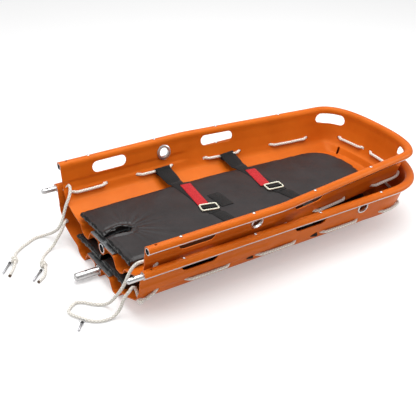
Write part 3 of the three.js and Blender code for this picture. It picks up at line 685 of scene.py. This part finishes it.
def shell_cutters(plan, place):
    tools = []
    rim = Rim(plan)
    hole = stadium(*LACE_HOLE)
    handle = stadium(*HANDLE)
    for side in (1, -1):
        for distance in plan["lace"][side]:
            x, y, yaw = rim.beside(distance, side, LACE_WITHIN)
            tools.append(prism(hole, place, x, y, LACE_Z, yaw, depth=30))
        for x in plan["handles"]:
            tools.append(prism(handle, place, z=HANDLE_Z, depth=90, **wall_frame(plan, x, side)))
        wall = wall_frame(plan, plan["grommet"], side)
        tools.append(prism(circle(GROMMET_HOLE_R), place, z=GROMMET_Z, **wall))
        rope_x, rope_z = plan["rope_holes"][side]
        tools.append(prism(circle(ROPE_HOLE_R), place, z=rope_z, **wall_frame(plan, rope_x, side)))
        low, high = place([(PIN_HOLE_X, side * HALF_WIDTH, 2), (PIN_HOLE_X, side * HALF_WIDTH, 30)])
        bore = [(0, PIN_HOLE_R * MM), (0.028, PIN_HOLE_R * MM)]
        tools.append(straight_tube("cutter", low, high, bore, ORANGE, 16))
        tools.append(drain(plan, place, side))
    return tools


def drain(plan, place, side):
    """Cuts a drain slot through the floor's shoulder at the closed end."""
    outline = stadium(*DRAIN)
    c, s = math.cos(side * DRAIN_TURN), math.sin(side * DRAIN_TURN)
    x = plan["start"] + DRAIN_ALONG * plan["reach"] + outline[:, 0] * c - outline[:, 1] * s
    y = side * DRAIN_ACROSS * plan["half"] + outline[:, 0] * s + outline[:, 1] * c
    rings = [np.column_stack([x, y, np.full(len(x), z)]) for z in (-150.0, -100.0)]
    return skin("cutter", place(np.array(rings)), ORANGE)


# ---------------------------------------------------------------- the two shells
lower_cutters, upper_cutters = shell_cutters(LOWER, in_lower), shell_cutters(UPPER, in_upper)
for side in (1, -1):
    lower_cutters.append(prism(
        stadium(*HANDLE), in_lower, x=1160, y=side * 95.0, z=HANDLE_Z, yaw=math.pi / 2))
    upper_cutters.append(prism(
        stadium(*CORNER_HANDLE), in_upper, x=1072, y=side * 186.0, z=HANDLE_Z, yaw=side * -0.9, depth=120))

lower_shell = shell("lower_shell_skin", LOWER, in_lower, lower_cutters)
finish_piece(lower_shell, "lower_half", "orange_shell", "lower_shell")
upper_shell = shell("upper_shell_skin", UPPER, in_upper, upper_cutters)
finish_piece(upper_shell, "upper_half", "orange_shell", "upper_shell")


# ---------------------------------------------------------------- tubes, spigots, plates
def rim_tube(name, plan, place):
    """A level tube with a blind bore at each end; its rings stay square to the plan line in the bores too."""
    line, _ = plan_line(plan, 12)
    mouth = [(70.02, 0.01), (70, BORE_R - 0.01), (0, BORE_R), (0.02, RIM_R - 0.6), (0.6, RIM_R)]
    stations = [((x, HALF_WIDTH, 0), r) for x, r in mouth]
    stations += [((x, y, 0), RIM_R) for x, y in line[1:-1]]
    stations += [((x, -HALF_WIDTH, 0), r) for x, r in mouth[::-1]]
    path, radii = zip(*stations)
    path = place(path)
    ahead = np.gradient(path, axis=0)
    ahead[:6], ahead[-6:] = (1, 0, 0), (-1, 0, 0)
    side = np.cross(unit(ahead), UPWARD)
    rings = [ring(p, r * MM, u, UPWARD, 28) for p, r, u in zip(path, radii, side)]
    return skin(name, rings, ALUMINIUM)


def keel_tube(name, plan, place):
    length = plan["start"] - FADE_END - FADE - 5
    a, b = place([(0, 0, KEEL_Z), (length, 0, KEEL_Z)])
    r, bore = KEEL_R * MM, KEEL_BORE_R * MM
    profile = [(0.085, 0), (0.085, bore), (0.0, bore), (0.0, r - 0.0006), (0.0006, r)]
    profile += [(length * MM - 0.0006, r), (length * MM, r - 0.0006), (length * MM, 0)]
    return straight_tube(name, a, b, profile, ALUMINIUM)


def spigot(name, y, z, radius, out, inside, hole):
    a, b = in_lower([(-out, y, z), (inside, y, z)])
    r = radius * MM
    profile = [(0, 0), (0, r * 0.62), (0.0006, r * 0.74), (0.0024, r * 0.93), (0.0042, r),
               ((out + inside) * MM, r), ((out + inside) * MM, 0)]
    rod = straight_tube(name, a, b, profile, ALUMINIUM, 40)
    top, bottom = in_lower([(hole, y, z + 30), (hole, y, z - 30)])
    carve(rod, [straight_tube("cutter", top, bottom, [(0, 0.0046), (0.06, 0.0046)], ALUMINIUM, 20)], 30)
    return finish_piece(rod, "lower_half", "aluminium_tube")


def joint_plate(half, place):
    """A thin bent-edged plate with two rivets."""
    x0, x1, w, z0, z1 = 0.0, 105.0, 76.0, -135.2, -132.2
    c = 5.0
    outline = [(x0, -w + 2), (x0, w - 2), (x0 + 2, w), (x1 - c, w),
               (x1, w - c), (x1, -w + c), (x1 - c, -w), (x0 + 2, -w)]
    rings = []
    for z, shrink in ((z0, 0.5), (z0 + 0.5, 0), (z1 - 0.5, 0), (z1, 0.5)):
        rings.append([(x * (1 - shrink / 50) + shrink, y * (1 - shrink / w), z) for x, y in outline])
    plate = skin("plate", place(np.array(rings)), PLATE, 30)
    parts = [plate]
    for y in (-52, 52):
        low, high = place([(14, y, z1 - 0.2), (14, y, z1 + 3)])
        head = [(0, 0.0045), (0.0004, 0.0045), (0.0006, 0.004)]
        parts.append(straight_tube("stud", low, high, head, BRIGHT, 20))
    finish_piece(join(f"{half}_plate", parts), f"{half}_half", "joint_plate", f"{half}_joint_plate")


for half, plan, place in HALVES:
    rim, keel = rim_tube(f"{half}_rim", plan, place), keel_tube(f"{half}_keel", plan, place)
    finish_piece(rim, f"{half}_half", "aluminium_tube", f"{half}_rim_tube")
    finish_piece(keel, f"{half}_half", "aluminium_tube", f"{half}_keel_tube")
    joint_plate(half, place)
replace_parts(spigot("far_spigot", HALF_WIDTH, 0, 9, 50, 70, -30), "lower_rim_spigot_far")
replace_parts(spigot("near_spigot", -HALF_WIDTH, 0, 9, 50, 70, -30), "lower_rim_spigot_near")
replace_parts(spigot("keel_spigot", 0, KEEL_Z, 13, 80, 70, -42), "lower_keel_spigot")


# ---------------------------------------------------------------- rivets and grommets
RIVET_DOME = [(0, 0), (0, 0.0046), (0.0005, 0.0049), (0.0012, 0.0044), (0.0020, 0.0030),
              (0.0023, 0.0012), (0.0024, 0)]


def rivets(half, plan, place):
    parts, nodes = [], []
    for side, word in SIDES:
        for i, x in enumerate(plan["rivets"]):
            y = side * float(half_width(plan, x))
            low, high = place([(x, y, RIM_R + GAP + SHEET + GAP), (x, y, RIM_R + 20)])
            parts.append(straight_tube("rivet", low, high, RIVET_DOME, BRIGHT, 20, 60))
            nodes.append(f"{half}_rivet_{word}_{i + 1}")
    finish_piece(join(f"{half}_rivets", parts), f"{half}_half", "bright_trim", *nodes)


def grommet(half, plan, place, side, word):
    f = wall_frame(plan, plan["grommet"], side)
    centre = np.array((f["x"], f["y"] - side * (17 + SHEET / 2), GROMMET_Z))
    lean = -side * 0.19
    axis = np.array((0.0, math.cos(lean), math.sin(lean)))
    low, high = (27.0, 22.0) if side > 0 else (22.0, 27.0)     # the wider flange is inside the basket
    profile = [(-5.2, 17.6), (-5.4, 20), (-4.8, low - 1.5), (-3.9, low), (-3.2, low - 0.6), (-3.2, 20.2),
               (3.2, 20.2), (3.2, high - 0.6), (3.9, high), (4.8, high - 1.5), (5.4, 20), (5.2, 17.6),
               (4.0, 17), (-4.0, 17)]
    along = np.array((1.0, 0, 0))
    lift = np.cross(along, axis)
    rings = [place(ring(centre + axis * d, r, along, lift, 48)) for d, r in profile]
    piece = closed_skin(f"{half}_ring_{word}", rings, BRIGHT, 50)
    finish_piece(piece, f"{half}_half", "bright_trim", f"{half}_grommet_{word}")


for half in HALVES:
    rivets(*half)
    for side, word in SIDES:
        grommet(*half, side, word)


# ---------------------------------------------------------------- mattresses
def pad_half_width(plan, x):
    along = np.clip((np.asarray(x, float) - PAD_TAPER_FROM) / (plan["corner"] - PAD_TAPER_FROM), 0, 1)
    return PAD_HALF_WIDTH + (plan["narrow"] - PAD_HALF_WIDTH) * along


def pad_outline(plan, shrink):
    """The mattress's outline, with a slit in the middle of its open end."""
    narrow, corner, end = plan["narrow"], plan["corner"], plan["end"]
    side = [(x, float(pad_half_width(plan, x))) for x in np.arange(4, corner, 12.0)]
    turn = []
    for t in np.linspace(0, 1, 14):
        a, b, c = np.array((corner, narrow)), np.array((end, narrow - 10)), np.array((end, 0.0))
        turn.append(tuple(a * (1 - t) ** 2 + 2 * b * t * (1 - t) + c * t * t))
    far = np.array(side + turn)
    outline = np.vstack([far, far[-2::-1] * (1, -1)])
    slit = [(4, -7.5), (20, -6.5), (38, -7.5), (56, -12), (74, -15), (88, -14), (97, -8), (100, 0), (97, 8),
            (88, 14), (74, 15), (56, 12), (38, 7.5), (20, 6.5), (4, 7.5)]
    outline = np.vstack([outline, slit])
    centre = np.roll(outline, -1, axis=0) - np.roll(outline, 1, axis=0)
    return outline + unit(np.column_stack([centre[:, 1], -centre[:, 0]])) * shrink


def mattress(half, plan, place):
    outline = pad_outline(plan, 3.0)
    rings = [np.column_stack([outline, np.full(len(outline), z)]) for z in (PAD_Z + 3, PAD_Z + PAD_T - 3)]
    obj = skin(f"{half}_pad", place(np.array(rings)), VINYL, 180)
    bpy.context.view_layer.objects.active = obj
    remesh = obj.modifiers.new("remesh", "REMESH")
    remesh.mode = "VOXEL"
    remesh.voxel_size = 0.005
    bpy.ops.object.modifier_apply(modifier=remesh.name)
    inflate(obj, 0.0045)
    subdivide = obj.modifiers.new("subdivide", "SUBSURF")
    subdivide.levels = 1
    bpy.ops.object.modifier_apply(modifier=subdivide.name)
    wrinkle(obj, plan, place)
    smooth(obj, 180)
    finish_piece(obj, f"{half}_half", "vinyl", f"{half}_mattress")


def inflate(obj, cap):
    """Cloth with pressure; no point moves further than cap."""
    rest = np.array([v.co for v in obj.data.vertices])
    cloth = obj.modifiers.new("cloth", "CLOTH")
    cloth.settings.use_pressure = True
    cloth.settings.uniform_pressure_force = 4.0
    cloth.settings.effector_weights.gravity = 0.0
    cloth.settings.quality = 4
    cloth.point_cache.frame_end = 12
    scene = bpy.context.scene
    for f in range(1, 13):
        scene.frame_set(f)
    view = bpy.context.evaluated_depsgraph_get()
    moved = np.array([v.co for v in obj.evaluated_get(view).data.vertices])
    obj.modifiers.remove(cloth)
    scene.frame_set(1)
    step = moved - rest
    length = np.linalg.norm(step, axis=1, keepdims=True)
    step *= np.minimum(1, cap / np.maximum(length, 1e-9))
    obj.data.vertices.foreach_set("co", (rest + step).ravel())
    obj.data.update()


def hem_distance(x, y):
    """Distance in plan from the mattress's front edge and the slit's lips."""
    slit = np.array([(4, 7), (38, 7.5), (56, 12), (74, 15), (88, 14), (97, 8), (100, 0)])
    nearest = x - 4
    y = np.abs(y)
    for (ax, ay), (bx, by) in zip(slit[:-1], slit[1:]):
        ux, uy = bx - ax, by - ay
        t = np.clip(((x - ax) * ux + (y - ay) * uy) / (ux ** 2 + uy ** 2), 0, 1)
        nearest = np.minimum(nearest, np.hypot(x - ax - t * ux, y - ay - t * uy))
    return nearest


def wrinkle(obj, plan, place):
    """Folds that fan out from the slit, a pillowed edge, and a crumpled hem at the front and the slit."""
    rng = np.random.default_rng(7)
    co = np.array([v.co for v in obj.data.vertices])
    origin = place(np.array([[0.0, 0.0, 0.0]]))[0]
    p = (co - origin) / MM
    x, y, z = p.T.copy()
    dx, dy = x - 92, y + 2
    r = np.hypot(dx, dy)
    angle = np.arctan2(dy, dx)
    fan = np.zeros(len(x))
    for k in range(11):
        centre = -1.7 + 3.6 * (k + 0.5) / 11 + rng.uniform(-0.08, 0.08)
        reach = rng.uniform(60, 140)
        wide = 0.07 + 2.2 / np.maximum(r, 20)
        off = (angle - centre) / wide
        fold = np.exp(-off ** 2) - 0.55 * np.exp(-(off - 1.6) ** 2)
        fan += fold * smoothstep(8, 34, r) * np.exp(-(r / reach) ** 2)
    top = smoothstep(PAD_Z + 10, PAD_Z + 20, z)
    hem = hem_distance(x, y)
    edge = np.minimum(pad_half_width(plan, x) - np.abs(y), np.maximum(x - 3, 0))
    pillow = -5.5 * np.exp(-np.maximum(edge, 0) / 7.0)
    border = -0.9 * np.exp(-((edge - 16) / 2.5) ** 2)
    lump = 0.6 * np.sin(x / 31 + 1.3 * np.sin(y / 47)) * np.sin(y / 37 + 0.8 * np.sin(x / 59))
    lips = 3.2 * np.exp(-((hem - 9) / 6.0) ** 2) * smoothstep(20, 45, x)
    lips -= 2.2 * np.exp(-((hem - 20) / 5.0) ** 2)
    crumple = 1.7 * np.sin(y / 5.3 + 2.1 * np.sin(y / 13) + x / 9)
    crumple += 1.2 * np.sin(x / 6.1 + y / 21 + 1.1 * np.sin(x / 17))
    crumple *= np.exp(-(np.maximum(hem, 0) / 13) ** 2)
    p[:, 2] += top * (-1.4 * fan + border + pillow + lump + lips + crumple)
    front = 1.6 * np.sin(z / 3.1 + y / 7 + 1.4 * np.sin(y / 19)) + 0.8 * np.sin(y / 3.7)
    p[:, 0] += np.exp(-(np.maximum(x - 4, 0) / 7) ** 2) * front
    obj.data.vertices.foreach_set("co", (p * MM + origin).ravel())
    obj.data.materials.append(HEM)
    corner = np.zeros(len(obj.data.polygons) * 3)
    obj.data.polygons.foreach_get("center", corner)
    centre = (corner.reshape(-1, 3) - origin) / MM
    wave = 2.5 * np.sin(centre[:, 1] / 9) + 1.5 * np.sin(centre[:, 0] / 7)
    glossy = hem_distance(centre[:, 0], centre[:, 1]) < 10 + wave
    obj.data.polygons.foreach_set("material_index", glossy.astype(np.int32))
    obj.data.update()


for half in HALVES[::-1]:
    mattress(*half)


# ---------------------------------------------------------------- straps and buckles
WEB_T = 2.0
WEB_EDGE = 0.6                 # rounding of the webbing's edges
RED_Z = WEB_Z + WEB_T + 0.4
BUCKLE_Z = RED_Z + 1.2 + 2.5   # middle of the frame's rod
# a strap's width from its doubled end to its end by the buckle
STRAP_WIDTHS = [55, 58, 60, 60, 54, 45, 40, 39, 40, 42, 44, 46, 48, 48]


def band(name, line, width, look, place):
    """A woven strap: an even ribbon along points, with rounded edges; width may change along it."""
    line = smooth_path(line, 3.0)
    width = np.atleast_1d(width)
    widths = np.interp(np.linspace(0, 1, len(line)), np.linspace(0, 1, len(width)), width)
    whole = line[-1] - line[0]
    across = unit((abs(whole[1]), -whole[0] * np.sign(whole[1]), 0.0))
    lift = unit(np.cross(headings(line), across))
    lift *= np.sign(lift[-1, 2])
    rings = []
    for p, u, w in zip(line, lift, widths):
        h, e, t = w / 2, WEB_EDGE, WEB_T
        outline = [(-h, 0.5), (-h + e, 0), (-h / 3, 0), (h / 3, 0), (h - e, 0), (h, 0.5),
                   (h, t - 0.5), (h - e, t), (h / 3, t + 0.2), (-h / 3, t + 0.2), (-h + e, t), (-h, t - 0.5)]
        rings.append([p + across * a + u * b for a, b in outline])
    return skin(name, place(np.array(rings)), look, 50)


def anchor(plan, side, x_wall, x_edge, x_middle, to):
    """A strap's line: its doubled end round the grab line, then down and over the mattress's edge."""
    wall = float(half_width(plan, x_wall))
    pad = float(pad_half_width(plan, x_wall))
    line = [(wall - 56, -96), (wall - 47, -94.5), (wall - 40, -93.5), (wall - 36, -89), (wall - 36.3, -84),
            (wall - 40, -80.4), (wall - 45, -80.8), (wall - 50, -85), (wall - 62, -91), (pad + 22, -101),
            (pad + 5, WEB_Z + 0.2), (pad - 8, WEB_Z + 1.4), (pad - 28, WEB_Z),
            (to + (pad - to) * 0.4, WEB_Z), (to, WEB_Z)]
    points = []
    for y, z in line:
        if y > pad:
            x = x_edge + (x_wall - x_edge) * min(1.0, (y - pad) / (wall - 49 - pad))
        else:
            x = x_middle + (x_edge - x_middle) * y / pad
        points.append((x, side * y, z))
    return points


def strap(half, number, far_xs, near_xs, middle_x, buckle, red):
    plan, place = (UPPER, in_upper) if half == "upper" else (LOWER, in_lower)
    body = f"{half}_half"
    prefix = f"{half}_strap_{number}"
    bx, by, turn = buckle
    for word, side, xs, to in (("far", 1, far_xs, by - 34), ("near", -1, near_xs, 38 - by)):
        line = anchor(plan, side, *xs, middle_x, to)
        web = band(f"{prefix}_{word}_web", line, STRAP_WIDTHS, BLACK, place)
        finish_piece(web, body, "black_webbing", f"{prefix}_{word}")
    from_x, from_y, to_x = red
    a, b = np.array((from_x, from_y, RED_Z)), np.array((to_x, by + 22, RED_Z))
    lane = [a, a * 0.7 + b * 0.3, a * 0.4 + b * 0.6, b]
    red_band = band(f"{prefix}_red_web", lane, 38, RED, place)
    finish_piece(red_band, body, "red_webbing", f"{prefix}_red")
    if half == "upper":
        fold = [a + (1, 9, 0.2), a + (0, 3, 0.3), a + (-0.5, -2, 0.4)]
        finish_piece(band(f"{prefix}_stitched_end", fold, 40, BLACK, place), body, "black_webbing")
    frame_piece = buckle_frame(f"{prefix}_frame", bx, by, turn, place)
    target = f"upper_buckle_{number}" if half == "upper" else body
    finish_piece(frame_piece, target, "buckle_enamel", f"{prefix}_buckle")


def buckle_frame(name, x, y, turn, place):
    """A welded rod frame: a rounded rectangle and its middle bar, with the webbing's black on it."""
    length, width, r, corner = 58.0, 37.0, 2.8, 5.0
    outline = []
    for cx, cy, start in ((1, 1, 0), (-1, 1, 90), (-1, -1, 180), (1, -1, 270)):
        for a in np.radians(np.linspace(start, start + 90, 7)):
            outline.append((cx * (length / 2 - corner) + corner * math.cos(a),
                            cy * (width / 2 - corner) + corner * math.sin(a), 0))
    outline = evenly(np.array(outline + outline[:1]), 3.0)[:-1]
    middle = np.zeros((16, 3))
    middle[:, 0] = np.linspace(-length / 2, length / 2, 16)
    middle[:, 1] = -width * 0.12
    c, s = math.cos(turn), math.sin(turn)

    def put(points):
        px, py = points[:, 0] * c - points[:, 1] * s, points[:, 0] * s + points[:, 1] * c
        return place(np.column_stack([x + px, y + py, points[:, 2] + BUCKLE_Z]))

    rod = put(outline)
    side = np.cross(unit(np.roll(rod, -1, axis=0) - np.roll(rod, 1, axis=0)), UPWARD)
    frame_mesh = closed_skin(name, [ring(p, r * MM, k, UPWARD, 12) for p, k in zip(rod, side)], ENAMEL, 60)
    bar = tube("bar", put(middle), r * 1.1 * MM, BLACK, 12)
    return join(name, [frame_mesh, bar])


# x at the wall and at the mattress's edge, far and near; at the middle; the buckle; the red band
strap("upper", 1, (368, 373), (372, 402), 380, (379, -30, -0.24), (396, 150, 373))
strap("upper", 2, (629, 636), (640, 682), 652, (650, -22, -0.12), (655, 127, 632))
strap("lower", 1, (362, 380), (374, 430), 416, (416, -52, -0.1), (424, 78, 408))
strap("lower", 2, (626, 650), (630, 700), 684, (684, -52, -0.1), (692, 78, 676))
loose_line = [(441, 45, WEB_Z), (442, 20, WEB_Z + 1.0), (443, -10, WEB_Z + 0.6), (444, -45, WEB_Z)]
loose_end = band("loose_strap_end", loose_line, 47, BLACK, in_upper)
finish_piece(loose_end, "upper_half", "black_webbing", "upper_strap_1_loose_end")


# ---------------------------------------------------------------- ropes, knots and lock pins
def rope_tube(name, path, radius, look, sides=16):
    """A round rope whose UV runs round it and along it, one unit a turn either way."""
    obj = tube(name, path, radius, look, sides, 60)
    run = run_along(path) / (2 * math.pi * radius)
    layer = obj.data.uv_layers.new(name="along")
    values = np.zeros((len(obj.data.loops), 2))
    for polygon in obj.data.polygons:
        index = np.array(polygon.vertices)
        around = (index % sides) / sides
        if len(index) == 4 and around.max() - around.min() > 0.5:
            around = np.where(around < 0.5, around + 1, around)
        corners = slice(polygon.loop_start, polygon.loop_start + len(index))
        values[corners] = np.column_stack([around, run[index // sides]])
    layer.data.foreach_set("uv", values.ravel())
    return obj


def rope_piece(name, points, node_name, stretches):
    path = smooth_path(on_ground(points), 0.004)
    length = float(run_along(path)[-1])
    obj = rope_tube(name, path, ROPE_R * MM, ROPE)
    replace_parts(obj, node_name)
    if stretches:
        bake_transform(obj)
    else:
        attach(obj, "lower_half")
    return obj, path, length


def lace_side(rim, holes, side):
    """The grab line's points from its first hole to its last, along one side."""
    points = []
    for i, hole in enumerate(holes):
        x, y, _ = rim.beside(hole, side, LACE_WITHIN)
        points.append((x, y, LACE_Z))
        if i + 1 == len(holes):
            break
        start, end = hole + LACE_STEP, holes[i + 1] - LACE_STEP
        inset = LACE_INSIDE if i % 2 == 0 else LACE_OUTSIDE
        for d in np.linspace(start, end, max(3, round((end - start) / 18))):
            x, y, _ = rim.beside(d, side, inset)
            points.append((x, y, LACE_Z - LACE_SLACK * math.sin(math.pi * (d - start) / (end - start))))
    return points


def grab_line(half, plan, place):
    rim, lace, ending = Rim(plan), plan["lace"], LACE_ENDING[half]
    far, near = (
        [(lace[side][0] + x, side * (HALF_WIDTH - inset), z) for x, inset, z in ending[side]]
        + lace_side(rim, lace[side], side) for side in (1, -1))
    beyond = plan["start"] + plan["reach"] - LACE_OUTSIDE
    y0, y1 = far[-1][1] - LACE_STEP, near[-1][1] + LACE_STEP
    across = [(beyond, y0 + (y1 - y0) * t, LACE_Z) for t in np.linspace(0, 1, 4)]
    path = smooth_path(place(far + across + near[::-1]), 0.0035)
    line = rope_tube(f"{half}_line", path, ROPE_R * MM, ROPE)
    finish_piece(line, f"{half}_half", "rope", f"{half}_grab_line")


def knot(name, centre, ahead, size):
    """A tied lump: two turns of rope wound round the rope's line."""
    ahead = unit(ahead)
    side = across_from(ahead)
    lift = np.cross(side, ahead)
    t = np.linspace(0, 2 * math.pi * 2.2, 60)
    radius = size * (0.62 + 0.1 * np.sin(t * 1.5))
    path = (np.array(centre) + ahead * ((t / t[-1] - 0.5) * size * 2.0)[:, None]
            + side * (radius * np.cos(t))[:, None] + lift * (radius * 0.8 * np.sin(t))[:, None])
    path[:, 2] = np.maximum(path[:, 2], 4.6)
    return rope_tube(name, on_ground(path), ROPE_R * 0.9 * MM, ROPE, 14)


def pin(name, start, end, node_name):
    a, b = on_ground([start, end])
    length = float(np.linalg.norm(b - a))
    profile = [(0, 0), (0, 0.0036), (0.0008, 0.0046), (0.0105, 0.0046), (0.0112, 0.0034), (0.012, 0.0036),
               (length - 0.004, 0.0036), (length - 0.0012, 0.0026), (length, 0.0012), (length, 0)]
    rod = straight_tube(name, a, b, profile, STEEL, 28)
    rod.data.materials.append(DARK)
    limit = 0.0108
    ahead = (b - a) / length
    for polygon in rod.data.polygons:
        if np.dot(np.array(polygon.center) - a, ahead) < limit:
            polygon.material_index = 1
    return finish_piece(rod, "lower_half", "steel_pin", node_name)


def tip(name, points, radius):
    obj = rope_tube(name, smooth_path(on_ground(points), 0.002), radius * MM, ROPE_END, 14)
    return finish_piece(obj, "lower_half", "rope")


def wire_ring(name, centre, axis, radius, wire):
    axis = unit(axis)
    u = across_from(axis)
    v = np.cross(u, axis)
    turn = np.linspace(0, 2 * math.pi * 0.985, 40)
    path = np.array(centre) + radius * (np.cos(turn)[:, None] * u + np.sin(turn)[:, None] * v)
    return tube(name, on_ground(path), wire * MM, STEEL, 10, 60)


# where a grab line's end leaves the wall again, next to its loose rope: [x from its first hole, inset, z]
SAME_ENDING = [(-38, 34, -106), (-34, 31.4, -105.5), (-24, 28.8, -97.5), (-13, 26.6, -91)]
LACE_ENDING = {
    "lower": {1: SAME_ENDING, -1: SAME_ENDING},
    "upper": {1: [(-10, 20, -64), (-20, 20.3, -67), (-25, 22, -76), (-16, 24.4, -85)],
              -1: [(-26, 20, -64), (-33, 20.6, -70), (-28, 22.6, -80), (-15, 24.5, -85.5)]},
}
for half in HALVES[::-1]:
    grab_line(*half)

far_rope, far_path, far_length = rope_piece("far_rope", FAR_ROPE, "rope_far", True)
middle_rope, middle_path, middle_length = rope_piece("middle_rope", MIDDLE_ROPE, "rope_middle", False)
near_rope, near_path, near_length = rope_piece("near_rope", NEAR_ROPE, "rope_near", True)
far_pin = pin("far_lock_pin", (-213, 206, 6.5), (-254, 161, 4.5), "pin_far")
middle_pin = pin("middle_lock_pin", (-144, 114, 6.5), (-189, 73, 4.5), "pin_middle")
near_pin = pin("near_lock_pin", (-146, -196, 6.5), (-173, -226, 4.5), "pin_near")
far_knot = finish_piece(knot("far_knot", (-197, 207, 9.5), (-10, -26, 0), 11), "lower_half", "rope")
middle_knot = finish_piece(knot("middle_knot", (-128, 134, 9.5), (-4, -20, 0), 11), "lower_half", "rope")
for side in (1, -1):
    finish_piece(knot(f"lower_stop_knot_{side}", (8, side * 267, 67), (0, side, 0), 7), "lower_half", "rope")
near_ring = wire_ring("near_pin_ring", (-147, -195, 10), (27, 30, 6), 9, 0.9)
finish_piece(near_ring, "lower_half", "steel_pin")
far_tip = tip("far_rope_tip", [(-233, 147, 5), (-238, 140.5, 5), (-241, 136, 5)], 4.95)
middle_tip = tip("middle_rope_tip", [(-168, 65.5, 5), (-173, 61.5, 5), (-177, 58.5, 5)], 4.95)


# ---------------------------------------------------------------- floor and light
FLOOR_CORNERS = [(-6, -6, -0.0005), (6, -6, -0.0005), (6, 9, -0.0005), (-6, 9, -0.0005)]
floor = mesh_object("floor", FLOOR_CORNERS, [(0, 1, 2, 3)], FLOOR_LOOK)
world = bpy.data.worlds.new("studio")
world.use_nodes = True
sky = node(world, "ShaderNodeTexCoord")
height = node(world, "ShaderNodeSeparateXYZ")
link(world, sky, "Generated", height, "Vector")
shade = ramp(world, height, "Z", [(0.0, (0.36, 0.36, 0.36)), (0.3, (0.5, 0.5, 0.5)), (0.9, (1.0, 1.0, 1.0))])
link(world, shade, "Color", world.node_tree.nodes["Background"], "Color")
world.node_tree.nodes["Background"].inputs["Strength"].default_value = 0.75
bpy.context.scene.world = world


def softbox(name, place, target, size, power):
    lamp = bpy.data.lights.new(name, "AREA")
    lamp.shape = "RECTANGLE"
    lamp.size, lamp.size_y = size
    lamp.energy = power
    obj = bpy.data.objects.new(name, lamp)
    obj.location = place
    obj.rotation_euler = (Vector(target) - Vector(place)).to_track_quat("-Z", "Y").to_euler()
    bpy.context.scene.collection.objects.link(obj)


softbox("overhead", (0.1, 0.0, 2.6), (0, 0, 0.1), (2.8, 2.4), 64)
softbox("from_left", (-2.6, 0.2, 1.9), (0, 0.1, 0.1), (1.4, 1.4), 15)
softbox("from_right", (2.3, -1.3, 1.1), (0.5, 0.1, 0.2), (1.2, 1.0), 16)
bpy.context.scene.view_settings.view_transform = "Standard"
